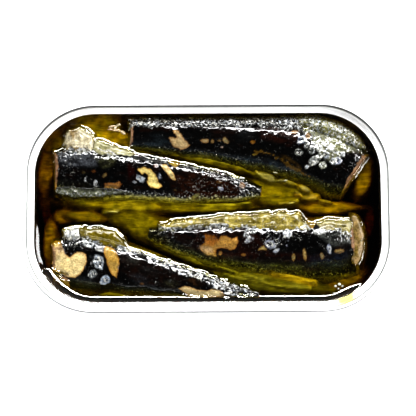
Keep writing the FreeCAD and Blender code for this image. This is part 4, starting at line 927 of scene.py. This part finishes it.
def bed_material():
    m = Nodes("sunken_flesh")
    co = m.coords()
    col = m.attr("col", "Color")
    st = m.noise(m.mapping(co, (260, 1500, 700)), 1.0, 4.0, 0.6)
    big = m.noise(co, 420, 3.0, 0.55)
    k = m.math("MULTIPLY", m.range(st, 0.3, 0.7, 0.45, 1.5), m.range(big, 0.3, 0.7, 0.45, 1.5))
    v = m.new("ShaderNodeVectorMath", operation="SCALE")
    m.put(v.inputs[0], col)
    m.put(v.inputs["Scale"], k)
    p = m.principled(Base_Color=v.outputs[0], Roughness=0.55, Normal=m.bump(st, 0.5, 0.0004))
    m.put(m.out.inputs["Surface"], p.outputs[0])
    return m.mat


def oil_material():
    m = Nodes("olive_oil")
    p = m.principled(Base_Color=(1, 1, 1, 1), Roughness=0.0, IOR=1.47)
    p.inputs["Transmission Weight"].default_value = 1.0
    p.inputs["Coat Weight"].default_value = 1.0
    p.inputs["Coat Roughness"].default_value = 0.0
    p.inputs["Coat IOR"].default_value = 1.5
    tr = m.new("ShaderNodeBsdfTransparent")
    lp = m.new("ShaderNodeLightPath")
    mix = m.new("ShaderNodeMixShader")
    m.put(mix.inputs[0], lp.outputs["Is Shadow Ray"])
    m.t.links.new(p.outputs[0], mix.inputs[1])
    m.t.links.new(tr.outputs[0], mix.inputs[2])
    m.put(m.out.inputs["Surface"], mix.outputs[0])
    va = m.new("ShaderNodeVolumeAbsorption")
    va.inputs["Color"].default_value = OIL_TINT
    va.inputs["Density"].default_value = OIL_DENSITY
    m.put(m.out.inputs["Volume"], va.outputs[0])
    return m.mat


OIL_TINT = (0.905, 0.865, 0.12, 1)
OIL_DENSITY = 1000.0


def tin_material(name, lacquer, metallic):
    m = Nodes(name)
    co = m.coords()
    fine = m.noise(m.mapping(co, (900, 900, 60)), 1.0, 3.0, 0.5)
    cloud = m.noise(co, 90, 3.0, 0.55)
    scuff = m.noise(m.mapping(co, (400, 400, 2500), (0.3, 0.2, 0.5)), 1.0, 4.0, 0.6)
    rough = m.math("ADD", m.range(fine, 0.3, 0.7, 0.30, 0.42), m.range(scuff, 0.55, 0.75, 0.0, 0.10))
    # painted reflection: on the rim, which is almost non-metal, this near-white colour stands in for the bright
    # reflection of bare aluminium
    alu = m.mix(m.range(cloud, 0.3, 0.7), (0.86, 0.865, 0.87), (0.93, 0.93, 0.925))
    nrm = m.bump(m.math("ADD", m.math("MULTIPLY", fine, 0.4), cloud), 0.25, 0.00012)
    geo = m.new("ShaderNodeNewGeometry")
    up = m.new("ShaderNodeSeparateXYZ")
    m.put(up.inputs[0], geo.outputs["Normal"])
    flat = m.range(up.outputs[2], 0.60, 0.995, 0.0, 1.0, smooth=True)
    if not lacquer:                        # standing faces high on the seam get painted shade, darkest where they face the front; the rest keeps the bright colour
        south = m.range(up.outputs[1], -0.10, -0.50)
        spot = m.new("ShaderNodeSeparateXYZ")
        m.put(spot.inputs[0], co)
        # painted shade: only flat faces and faces lower than the seam's top keep the bright colour
        free_of_painted_shade = m.math("MAXIMUM", flat, m.range(spot.outputs[2], 0.0268, 0.0256))
        alu = m.mix(free_of_painted_shade, m.mix(south, (0.15, 0.16, 0.155), (0.03, 0.032, 0.031)), alu)
        # painted shade: a dark line along the seam's turned-down outer edge, out to its outline, fainter towards the
        # back
        cx, cy = (HALF_X - CORNER_R) * MM, (HALF_Y - CORNER_R) * MM
        qx = m.math("MAXIMUM", m.math("SUBTRACT", m.math("ABSOLUTE", spot.outputs[0]), cx), 0.0)
        qy = m.math("MAXIMUM", m.math("SUBTRACT", m.math("ABSOLUTE", spot.outputs[1]), cy), 0.0)
        away = m.math("SQRT", m.math("ADD", m.math("MULTIPLY", qx, qx), m.math("MULTIPLY", qy, qy)))
        edge = m.range(away, (CORNER_R - 0.50) * MM, (CORNER_R - 0.22) * MM, 0.0, 0.9, smooth=True)
        edge = m.math("MULTIPLY", edge, m.range(spot.outputs[1], 0.028, 0.016, 0.25, 1.0))
        alu = m.mix(edge, alu, (0.13, 0.135, 0.135))
        # a dried smear of oil on the ledge, and a dark speck on the seam
        for place, far, near, colour in (((0.0390, -0.0262, 0.0248), 0.0036, 0.0016, (0.74, 0.68, 0.22)),
                                         ((-0.0354, 0.0280, 0.0280), 0.0008, 0.0004, (0.02, 0.02, 0.02))):
            gap = m.new("ShaderNodeVectorMath", operation="DISTANCE")
            m.put(gap.inputs[0], co)
            gap.inputs[1].default_value = place
            alu = m.mix(m.range(gap.outputs["Value"], far, near, smooth=True), alu, colour)
    if lacquer:
        # inside of the can: the oblong's inward faces and the floor panel carry a gold lacquer
        sep = up
        pos = m.new("ShaderNodeSeparateXYZ")
        m.put(pos.inputs[0], co)
        dot = m.math("ADD", m.math("MULTIPLY", sep.outputs[0], pos.outputs[0]),
                     m.math("MULTIPLY", sep.outputs[1], pos.outputs[1]))
        inward = m.math("LESS_THAN", dot, -0.0015)
        floor_up = m.math("MULTIPLY", m.math("GREATER_THAN", sep.outputs[2], 0.4),
                          m.math("LESS_THAN", pos.outputs[2], 0.006))
        inside = m.math("MAXIMUM", inward, floor_up)
        alu = m.mix(m.range(cloud, 0.3, 0.7), (0.22, 0.225, 0.23), (0.29, 0.295, 0.30))
        alu = m.mix(inside, alu, (0.60, 0.42, 0.16))
    p = m.principled(Base_Color=alu, Roughness=rough, Normal=nrm, Metallic=metallic)
    m.put(m.out.inputs["Surface"], p.outputs[0])
    return m.mat


def scrap_material():
    m = Nodes("loose_flesh")
    co = m.coords()
    n1 = m.noise(co, 900, 4.0, 0.6)
    v = m.new("ShaderNodeVectorMath", operation="SCALE")
    m.put(v.inputs[0], m.attr("col", "Color"))
    m.put(v.inputs["Scale"], m.range(n1, 0.3, 0.7, 0.6, 1.3))
    p = m.principled(Base_Color=v.outputs[0], Roughness=0.22, Normal=m.bump(n1, 0.6, 0.0003))
    p.inputs["Coat Weight"].default_value = 0.5
    p.inputs["Coat Roughness"].default_value = 0.08
    m.put(m.out.inputs["Surface"], p.outputs[0])
    return m.mat


def plain_material(name, colour, rough, glow=0.0):
    m = Nodes(name)
    co = m.coords()
    n1 = m.noise(co, 40, 3.0, 0.5)
    p = m.principled(Base_Color=m.mix(m.range(n1, 0.3, 0.7), tuple(c * 0.985 for c in colour), colour),
                     Roughness=rough)
    p.inputs["Emission Color"].default_value = (1, 1, 1, 1)
    p.inputs["Emission Strength"].default_value = glow
    m.put(m.out.inputs["Surface"], p.outputs[0])
    return m.mat


# ------------------------------------------------------------------ build the fish
fish_mat = fish_material()
for name in FISH:
    ob = build_fish(name)
    ob.data.materials.append(fish_mat)
    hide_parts(name)
    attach(ob, "root")

# ------------------------------------------------------------------ soft lumps of belly that stand out of the oil
def shell(X, Y, top, low, mask):
    """A closed piece between two heights over the masked cells of a grid."""
    for _ in range(3):                     # cells that only meet at a corner are joined
        a, b, c, d = mask[:-1, :-1], mask[1:, 1:], mask[1:, :-1], mask[:-1, 1:]
        one, two = a & b & ~c & ~d, c & d & ~a & ~b
        if not (one.any() or two.any()):
            break
        mask[1:, :-1] |= one
        mask[:-1, :-1] |= two
    nx, ny = X.shape
    idx = np.arange(nx * ny).reshape(nx, ny)
    quads = np.stack([idx[:-1, :-1], idx[1:, :-1], idx[1:, 1:], idx[:-1, 1:]], -1)[mask]
    off = nx * ny
    faces = quads.tolist() + (quads[:, ::-1] + off).tolist()
    seen = {}
    for q in quads.tolist():
        for i in range(4):
            e = (q[i], q[(i + 1) % 4])
            if (e[1], e[0]) in seen:
                del seen[(e[1], e[0])]
            else:
                seen[e] = 1
    faces += [[b, a, a + off, b + off] for a, b in seen]
    pts = np.vstack([np.column_stack([X.ravel(), Y.ravel(), top.ravel()]),
                     np.column_stack([X.ravel(), Y.ravel(), low.ravel()])])
    used = np.unique(np.array(faces))
    new = np.full(len(pts), -1)
    new[used] = np.arange(len(used))
    return pts[used], [[int(new[i]) for i in f] for f in faces], used


FADING = (0, 1, 2, 3, 4)                # these turn to dark skin at their front edge
BACKS = (9,)


def build_lumps():
    P, F, C, K, G, n = [], [], [], [], [], 0
    for k, (pts, high, c1, c2, fl, rough) in enumerate(LUMPS):
        a = np.array(pts)
        x0, y0 = a.min(0) - 1.4
        x1, y1 = a.max(0) + 1.4
        cell = 0.24
        X, Y = np.meshgrid(np.arange(x0, x1, cell), np.arange(y0, y1, cell), indexing="ij")
        x, y = X.ravel(), Y.ravel()
        p = np.column_stack([x, y, 0 * x])
        n1, n2, n3 = fbm(p, 3.2, 3, 200 + k), fbm(p, 0.95, 3, 220 + k), fbm(p, 1.7, 3, 240 + k)
        d = sdf_poly(x, y, pts)
        south = sdf_poly(x, y - 0.3, pts) - sdf_poly(x, y + 0.3, pts)
        d = d + (0.35 + 0.75 * step(0.1, 0.5, south) * (k in FADING or k == 6)) * n3
        t = np.clip(-d / 2.0, 0, 1)
        z = OIL_Z + high * np.sqrt(1 - (1 - t) ** 2) * (1 + 0.28 * n1) + rough * (n2 * 0.55 + n3 * 0.8 - 0.15) * t ** 0.5
        if k in FADING or k in (6, 7):     # it lies on the fish at that side
            z += 0.75 * t * step(0.0, 0.5, sdf_poly(x, y - 0.8, pts) - sdf_poly(x, y + 0.8, pts))
        z = np.where(d > 0, OIL_Z - 3.2 * np.clip(d, 0, 1.0), z)
        z = np.minimum(z, TOP_Z - 2.0)
        ok = (d < 1.0) & (oblong_sdf(x, y, WALL_IN + 0.4) < 0)
        ok = ok.reshape(X.shape)
        mask = ok[:-1, :-1] & ok[1:, :-1] & ok[1:, 1:] & ok[:-1, 1:]
        q, f, used = shell(X, Y, z.reshape(X.shape), np.full(X.shape, OIL_Z - 4.2), mask)
        w = step(-0.5, 0.7, n1 + 0.5 * n3)
        col = mixc(np.tile(np.array(c1), (len(x), 1)), np.array(c2), w)
        vein = np.exp(-(np.abs(n3) / 0.10) ** 2) * t
        col = mixc(col, np.array(c1) * 1.35, vein * 0.5)
        col = col * (0.60 + 0.40 * step(0.0, 0.5, -d) + 0.22 * n2)[:, None]
        fade = step(-2.6, -0.8, d + 0.7 * n2 + 0.4 * n3) * step(0.15, 0.45, south) if k in FADING else np.zeros(len(x))
        col = mixc(col, (0.10, 0.10, 0.07), fade * 0.85)
        flecks = fl * (1 - fade) + 0.66 * fade
        if k in BACKS:                     # and these come out of dark skin at their back edge
            back_edge = step(-1.9, -0.1, d + 0.8 * n2) * step(0.15, 0.45, -south)
            col = mixc(col, (0.008, 0.008, 0.007), back_edge)
            flecks = flecks * (1 - 0.9 * back_edge)
        flecks = np.concatenate([flecks, flecks])[used]
        col = np.vstack([col, col])[used]
        P.append(q)
        F += [[i + n for i in g] for g in f]
        C.append(col)
        K.append(flecks)
        n += len(q)
    ob = make_mesh("belly_lumps", np.vstack(P), F, attrs=dict(gloss=np.full(n, 0.26), metal=np.zeros(n), fleck=np.concatenate(K),
                              wet=np.clip(np.concatenate(K) * 2, 0.4, 1)),
                   colours=dict(col=np.clip(np.vstack(C) * SHADE, 0, 1)))
    bm_fix(ob)
    solids_above.append(ob)
    return ob


lumps = build_lumps()
lumps.data.materials.append(fish_mat)
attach(lumps, "root")

# ------------------------------------------------------------------ height of whatever stands out of the oil
CELL = 0.25
GX0, GY0 = -HALF_X, -HALF_Y
GNX, GNY = int(2 * HALF_X / CELL) + 1, int(2 * HALF_Y / CELL) + 1
height = np.full((GNX, GNY), -99.0)
for solid in solids_above:
    me = solid.data
    co = np.empty(len(me.vertices) * 3)
    me.vertices.foreach_get("co", co)
    co = co.reshape(-1, 3) / MM
    tree = BVHTree.FromPolygons([tuple(v) for v in co], [tuple(q.vertices) for q in me.polygons])
    i0, i1 = [int(np.clip((v - GX0) / CELL, 0, GNX - 1)) for v in (co[:, 0].min() - CELL, co[:, 0].max() + CELL)]
    j0, j1 = [int(np.clip((v - GY0) / CELL, 0, GNY - 1)) for v in (co[:, 1].min() - CELL, co[:, 1].max() + CELL)]
    for i in range(i0, i1 + 1):
        for j in range(j0, j1 + 1):
            hit = tree.ray_cast((GX0 + i * CELL, GY0 + j * CELL, 60.0), (0, 0, -1))
            if hit[0] is not None and hit[0].z > height[i, j]:
                height[i, j] = hit[0].z


def blur(h, times=1):
    for _ in range(times):
        pad = np.pad(h, 1, mode="edge")
        h = (pad[:-2, 1:-1] + pad[2:, 1:-1] + pad[1:-1, :-2] + pad[1:-1, 2:] + 4 * h) / 8
    return h


dry = blur(np.where(height > OIL_Z + 0.08, 1.0, 0.0), 1)          # 1 where fish stands out of the oil


def sample(grid, x, y):
    fx, fy = (x - GX0) / CELL, (y - GY0) / CELL
    i = np.clip(np.floor(fx).astype(int), 0, GNX - 2)
    j = np.clip(np.floor(fy).astype(int), 0, GNY - 2)
    u, v = np.clip(fx - i, 0, 1), np.clip(fy - j, 0, 1)
    return (grid[i, j] * (1 - u) * (1 - v) + grid[i + 1, j] * u * (1 - v)
            + grid[i, j + 1] * (1 - u) * v + grid[i + 1, j + 1] * u * v)


# waterline points, where dry crosses one half
edge_pts = []
for axis in (0, 1):
    a = dry[:-1] if axis == 0 else dry[:, :-1]
    b = dry[1:] if axis == 0 else dry[:, 1:]
    hit = np.argwhere((a - 0.5) * (b - 0.5) < 0)
    fa, fb = a[tuple(hit.T)], b[tuple(hit.T)]
    w = (0.5 - fa) / (fb - fa)
    gx = hit[:, 0] + (w if axis == 0 else 0)
    gy = hit[:, 1] + (w if axis == 1 else 0)
    edge_pts.append(np.column_stack([GX0 + gx * CELL, GY0 + gy * CELL]))
edge_pts = np.vstack(edge_pts)
# how steeply the solid rises there: where it hardly does, the oil hardly climbs
gxv = sample(dry, edge_pts[:, 0] + 0.4, edge_pts[:, 1]) - sample(dry, edge_pts[:, 0] - 0.4, edge_pts[:, 1])
gyv = sample(dry, edge_pts[:, 0], edge_pts[:, 1] + 0.4) - sample(dry, edge_pts[:, 0], edge_pts[:, 1] - 0.4)
gl = np.hypot(gxv, gyv) + 1e-6
inner = sample(np.where(height > -50, height, OIL_Z), edge_pts[:, 0] + gxv / gl * 0.6, edge_pts[:, 1] + gyv / gl * 0.6)
steep = np.clip((inner - OIL_Z) / 0.6, 0.12, 1.6)
steep = steep * (1 - 0.80 * step(0.75, 0.97, gxv / gl))      # the cut ends at the left hardly draw it up
tree = KDTree(len(edge_pts))
for i, (ex, ey) in enumerate(edge_pts):
    tree.insert((ex, ey, 0), i)
tree.balance()


# ------------------------------------------------------------------ oil
def outline_grid(inset, nx_arc, nx_mid, ny):
    """A grid whose edge is the tin's rounded outline, inset mm in: columns x, rows from -1 to 1."""
    hx, hy, r = HALF_X - inset, HALF_Y - inset, CORNER_R - inset
    cx, cy = hx - r, hy - r
    phi = np.linspace(0, np.pi / 2, nx_arc, endpoint=False)
    left = -cx - r * np.cos(phi)
    xs = np.concatenate([left, np.linspace(-cx, cx, nx_mid), -left[::-1]])
    hy_at = cy + np.sqrt(np.clip(r * r - np.clip(np.abs(xs) - cx, 0, None) ** 2, 0, None))
    w = np.linspace(-1, 1, ny)
    X = np.repeat(xs[:, None], ny, 1)
    Y = hy_at[:, None] * w[None, :]
    return X, Y


def build_oil():
    inset = WALL_IN - INTO_WALL
    X, Y = outline_grid(inset, 96, 236, 206)
    nx, ny = X.shape
    x, y = X.ravel(), Y.ravel()
    inside = sample(dry, x, y) > 0.5
    found = [tree.find((a, b, 0)) for a, b in zip(x, y)]
    dist = np.array([q[2] for q in found])
    rise = steep[np.array([q[1] for q in found])]
    dist = np.where(inside, -dist, dist)
    # it climbs the fish and the peeled edge of the lid
    wob = 1 + 0.25 * noise(np.column_stack([x, y, 0 * x]) / 3.5, 5)
    climb = 0.60 * np.clip(rise, 0, 1) * wob * np.exp(-np.clip(dist, 0, None) / 0.60)
    led = -oblong_sdf(x, y, LEDGE_END)                       # distance in from the ledge's edge
    e = 0.05
    ox = oblong_sdf(x + e, y, LEDGE_END) - oblong_sdf(x - e, y, LEDGE_END)
    oy = oblong_sdf(x, y + e, LEDGE_END) - oblong_sdf(x, y - e, LEDGE_END)
    ln = np.hypot(ox, oy) + 1e-9
    ox, oy = ox / ln, oy / ln
    corner = step(0.10, 0.55, np.abs(ox)) * step(0.98, 0.60, np.abs(ox))
    west = step(0.3, 0.8, -ox) * step(2.0, -9.0, y)
    east = step(0.0, 0.4, ox)
    share = np.maximum(0.04 + 0.96 * step(0.30 + 0.35 * east, 0.62 + 0.33 * east, -oy), 0.60 * west)
    reach = 1.10 + 0.40 * corner * step(0.2, 0.5, -oy) + 0.45 * west
    wall = 1.30 * reach * share * np.exp(-np.clip(led - 0.25, 0, None) / reach)
    z = OIL_Z + np.sqrt(climb ** 2 + wall ** 2)
    z += 0.015 * noise(np.column_stack([x, y, 0 * x]) / 6.0, 8)
    # under the fish's skin it drops away, so that none shows through
    h = sample(np.where(height > -50, height, OIL_Z), x, y)
    deep = np.clip(-dist, 0, None)
    under = np.where((rise > 1.1) & (deep < 0.5), z, np.minimum(z, h - 0.10))
    z = np.where(inside, under - 0.9 * np.clip(deep - 0.6, 0, 1.6), z)
    z = np.minimum(z, LEDGE_Z - 0.10 + 0.25 * step(-1.0, 0.0, led))
    top_pts = np.column_stack([x, y, z])
    faces = []
    idx = np.arange(nx * ny).reshape(nx, ny)
    q = np.stack([idx[:-1, :-1], idx[1:, :-1], idx[1:, 1:], idx[:-1, 1:]], -1).reshape(-1, 4)
    faces += q.tolist()
    loop = np.concatenate([idx[:, 0], idx[-1, 1:], idx[-2::-1, -1], idx[0, -2:0:-1]])
    bx, by = x[loop], y[loop]
    r = CORNER_R - inset
    cx, cy = HALF_X - inset - r, HALF_Y - inset - r
    nxv = np.sign(bx) * np.clip(np.abs(bx) - cx, 0, None)
    nyv = np.sign(by) * np.clip(np.abs(by) - cy, 0, None)
    ln = np.hypot(nxv, nyv) + 1e-9
    nxv, nyv = nxv / ln, nyv / ln
    draft = 0.55
    foot = WALL_IN + draft
    prof = [(WALL_IN - INTO_WALL + 0.02, OIL_Z - 0.2), (WALL_IN - INTO_WALL + 0.30, 12.0), (foot - INTO_WALL, 3.0),
            (foot + 0.25, 1.3), (foot + 0.95, 0.45), (foot + 2.0, 0.16), (6.2, 0.16), (7.45, 1.05), (13.0, 1.05)]
    rings = [loop]
    pts = [top_pts]
    start = len(top_pts)
    for d, zz in prof:
        off = d - inset
        pts.append(np.column_stack([bx - nxv * off, by - nyv * off, np.full(len(bx), zz)]))
        rings.append(np.arange(start, start + len(bx)))
        start += len(bx)
    for a, b in zip(rings[:-1], rings[1:]):
        qq = np.stack([a, b, np.roll(b, -1), np.roll(a, -1)], -1)
        faces += qq.tolist()
    pts.append(np.array([[0, 0, 1.05]]))
    last = rings[-1]
    faces += [[int(start), int(last[(i + 1) % len(last)]), int(last[i])] for i in range(len(last))]
    ob = make_mesh("oil_look", np.vstack(pts), faces)
    bm_fix(ob)
    return ob


oil = build_oil()
oil.data.materials.append(oil_material())
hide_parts("oil")
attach(oil, "root")


# ------------------------------------------------------------------ flesh sunk in the oil, between the fish
def line_dist(x, y, pts):
    d = sdf_line(x, y, pts, 0.0)
    return d, None


def build_bed():
    X, Y = outline_grid(WALL_IN + 0.5, 60, 150, 130)
    nx, ny = X.shape
    x, y = X.ravel(), Y.ravel()
    p = np.column_stack([x, y, 0 * x])
    n1, n2 = fbm(p, 5.0, 3, 71), fbm(p * [0.4, 1, 1], 1.6, 3, 72)
    depth = np.full(x.shape, 17.0)
    col = np.tile(np.array((0.10, 0.07, 0.03)), (len(x), 1))
    for cx, cy, rx, ry, ang, dep, c in MOUNDS:
        a = math.radians(ang)
        u = ((x - cx) * math.cos(a) + (y - cy) * math.sin(a)) / rx
        v = (-(x - cx) * math.sin(a) + (y - cy) * math.cos(a)) / ry
        k = np.sqrt(u * u + v * v) + 0.10 * n1
        dm = dep + np.clip(k - 0.55, 0, None) ** 2 * 14
        w = step(0.5, -0.5, dm - depth)
        col = mixc(col, np.array(c), w)
        depth = np.minimum(depth, dm)
    depth = depth + 0.35 * n1 + 0.18 * n2
    for half, pts, dep, c in FOLDS:
        d, _ = line_dist(x, y, pts)
        d = d + 0.25 * n2
        w = np.exp(-(d / half) ** 2)
        depth = np.minimum(depth, dep + 1.8 * (1 - w) + np.clip(d - 1.5 * half, 0, None) * 4)
        col = mixc(col, np.array(c), step(0.35, 0.8, w))
    depth = np.maximum(depth, 0.35)
    wall_room = -oblong_sdf(x, y, WALL_IN + 0.45)
    z = np.maximum(OIL_Z - depth, 2.2 + 0 * x)
    col = np.clip(col * (1 + 0.25 * n2[:, None]), 0, 1)
    top_pts = np.column_stack([x, y, z])
    idx = np.arange(nx * ny).reshape(nx, ny)
    q = np.stack([idx[:-1, :-1], idx[1:, :-1], idx[1:, 1:], idx[:-1, 1:]], -1).reshape(-1, 4)
    faces = q.tolist()
    loop = np.concatenate([idx[:, 0], idx[-1, 1:], idx[-2::-1, -1], idx[0, -2:0:-1]])
    start = len(top_pts)
    low = top_pts[loop] * [0.93, 0.88, 1]
    low[:, 2] = 1.6
    ring = np.arange(start, start + len(loop))
    faces += np.stack([loop, ring, np.roll(ring, -1), np.roll(loop, -1)], -1).tolist()
    centre = start + len(loop)
    faces += [[int(centre), int(ring[(i + 1) % len(ring)]), int(ring[i])] for i in range(len(ring))]
    allp = np.vstack([top_pts, low, [[0, 0, 1.6]]])
    cc = np.vstack([col, col[loop], [col.mean(0)]])
    ob = make_mesh("sunken_flesh", allp, faces, colours=dict(col=cc * SHADE))
    bm_fix(ob)
    return ob


bed = build_bed()
bed.data.materials.append(bed_material())
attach(bed, "root")


# ------------------------------------------------------------------ loose scraps of flesh and skin, and bubbles whose white is a painted reflection
def blob(cx, cy, cz, rx, ry, rz, ang, seed, nu=28, nv=16, rough=0.25):
    u = np.linspace(0, 2 * np.pi, nu, endpoint=False)
    v = np.linspace(0, np.pi, nv + 2)[1:-1]
    U, W = np.meshgrid(u, v)
    d = np.stack([np.cos(U) * np.sin(W), np.sin(U) * np.sin(W), np.cos(W)], -1).reshape(-1, 3)
    d = np.vstack([d, [[0, 0, 1], [0, 0, -1]]])
    k = 1 + rough * fbm(d + seed * 3.1, 0.8, 3, seed)
    p = d * k[:, None] * [rx, ry, rz]
    a = math.radians(ang)
    R = np.array([[math.cos(a), -math.sin(a), 0], [math.sin(a), math.cos(a), 0], [0, 0, 1]])
    p = p @ R.T + [cx, cy, cz]
    idx = np.arange(nu * nv).reshape(nv, nu)
    f = np.stack([idx[:-1], idx[1:], np.roll(idx[1:], -1, 1), np.roll(idx[:-1], -1, 1)], -1).reshape(-1, 4).tolist()
    t, b = nu * nv, nu * nv + 1
    f += [[t, int(idx[0, i]), int(idx[0, (i + 1) % nu])] for i in range(nu)]
    f += [[b, int(idx[-1, (i + 1) % nu]), int(idx[-1, i])] for i in range(nu)]
    return p, f


def build_scraps_and_bubbles():
    pts, faces, cols, n = [], [], [], 0
    for k, (cx, cy, dz, rx, ry, rz, ang, c) in enumerate(SCRAPS_AND_BUBBLES):
        p, f = blob(cx, cy, OIL_Z + dz, rx, ry, rz, ang, 80 + k)
        pts.append(p)
        faces += [[i + n for i in q] for q in f]
        cols.append(np.tile(np.array(c), (len(p), 1)) * (1 + 0.3 * fbm(p, 0.8, 2, 90 + k)[:, None]))
        n += len(p)
    ob = make_mesh("loose_scraps_and_bubbles", np.vstack(pts), faces, colours=dict(col=np.clip(np.vstack(cols) * SHADE, 0, 1)))
    bm_fix(ob)
    return ob


scraps = build_scraps_and_bubbles()
scraps.data.materials.append(scrap_material())
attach(scraps, "root")

# ------------------------------------------------------------------ tin
# the rim is almost non-metal (metallic 0.04), so its near-white colour is a painted reflection of bare aluminium; the
# can's sheet stays metal
for node, mat in (("tin_body", tin_material("tin_sheet", True, 0.85)), ("lid_rim", tin_material("tin_rim", False, 0.04))):
    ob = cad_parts[node]
    if not ob.data.materials:
        ob.data.materials.append(mat)
    for s in ob.material_slots:
        s.material = mat

# ------------------------------------------------------------------ floor, light, camera
me = bpy.data.meshes.new("floor")
S = 3.0
me.from_pydata([(-S, -S, 0), (S, -S, 0), (S, S, 0), (-S, S, 0)], [], [(0, 1, 2, 3)])
floor = bpy.data.objects.new("floor", me)
floor.location = (0, 0, -0.00005)
scene.collection.objects.link(floor)
floor.data.materials.append(plain_material("pale_floor", (0.94, 0.94, 0.94), 0.8, 0.20))


def area(name, where, size, power, colour=(1, 1, 1), aim=(0, 0, 0.02)):
    li = bpy.data.lights.new(name, "AREA")
    li.shape = "RECTANGLE"
    li.size, li.size_y = size
    li.energy = power
    li.color = colour
    ob = bpy.data.objects.new(name, li)
    ob.location = where
    ob.rotation_euler = (Vector(aim) - Vector(where)).to_track_quat("-Z", "Z").to_euler()
    scene.collection.objects.link(ob)
    return ob


area("key_back", (0.04, 0.38, 0.48), (0.60, 0.13), 5.2)
area("side_right", (0.52, 0.04, 0.40), (0.46, 0.46), 4.6)
area("side_left", (-0.56, -0.02, 0.36), (0.50, 0.50), 2.2)

world = bpy.data.worlds.new("studio")
scene.world = world
world.use_nodes = True
wt = world.node_tree
back = wt.nodes["Background"]
back.inputs[1].default_value = 1.0
way = wt.nodes.new("ShaderNodeTexCoord")
split = wt.nodes.new("ShaderNodeSeparateXYZ")
sky = wt.nodes.new("ShaderNodeValToRGB")
wt.links.new(way.outputs["Generated"], split.inputs[0])
wt.links.new(split.outputs[2], sky.inputs[0])
north = wt.nodes.new("ShaderNodeMapRange")
north.inputs[1].default_value, north.inputs[2].default_value = 0.05, 0.45
north.inputs[3].default_value, north.inputs[4].default_value = 1.0, 0.35
wt.links.new(split.outputs[1], north.inputs[0])
both = wt.nodes.new("ShaderNodeVectorMath")
both.operation = "SCALE"
wt.links.new(sky.outputs[0], both.inputs[0])
wt.links.new(north.outputs[0], both.inputs["Scale"])
wt.links.new(both.outputs[0], back.inputs[0])
sky.color_ramp.elements.new(0.5)
sky.color_ramp.elements.new(0.5)
for el, (pos, k) in zip(sky.color_ramp.elements, ((0.0, 0.85), (0.34, 0.66), (0.62, 0.12), (0.90, 0.010))):
    el.position = pos
    el.color = (k, k, k, 1)

cam = bpy.data.cameras.new("camera")
cam.sensor_width = 36.0
cam.lens = 91.5
cam.dof.use_dof = False
cam_ob = bpy.data.objects.new("camera", cam)
scene.collection.objects.link(cam_ob)
ELEV, ROLL, DIST = 84.5, 0.3, 0.300
aim = Vector((0.07, -0.50, 27.0)) * MM
e = math.radians(ELEV)
cam_ob.location = aim + Vector((0, -math.cos(e), math.sin(e))) * DIST
look = (aim - cam_ob.location).to_track_quat("-Z", "Y")
cam_ob.rotation_euler = (look.to_matrix() @ Matrix.Rotation(math.radians(-ROLL), 3, "Z")).to_euler()
scene.camera = cam_ob

scene.view_settings.view_transform = "Standard"
scene.view_settings.look = "High Contrast"
scene.view_settings.exposure = 0.20
scene.cycles.max_bounces = 12
scene.cycles.transmission_bounces = 8
scene.cycles.transparent_max_bounces = 12
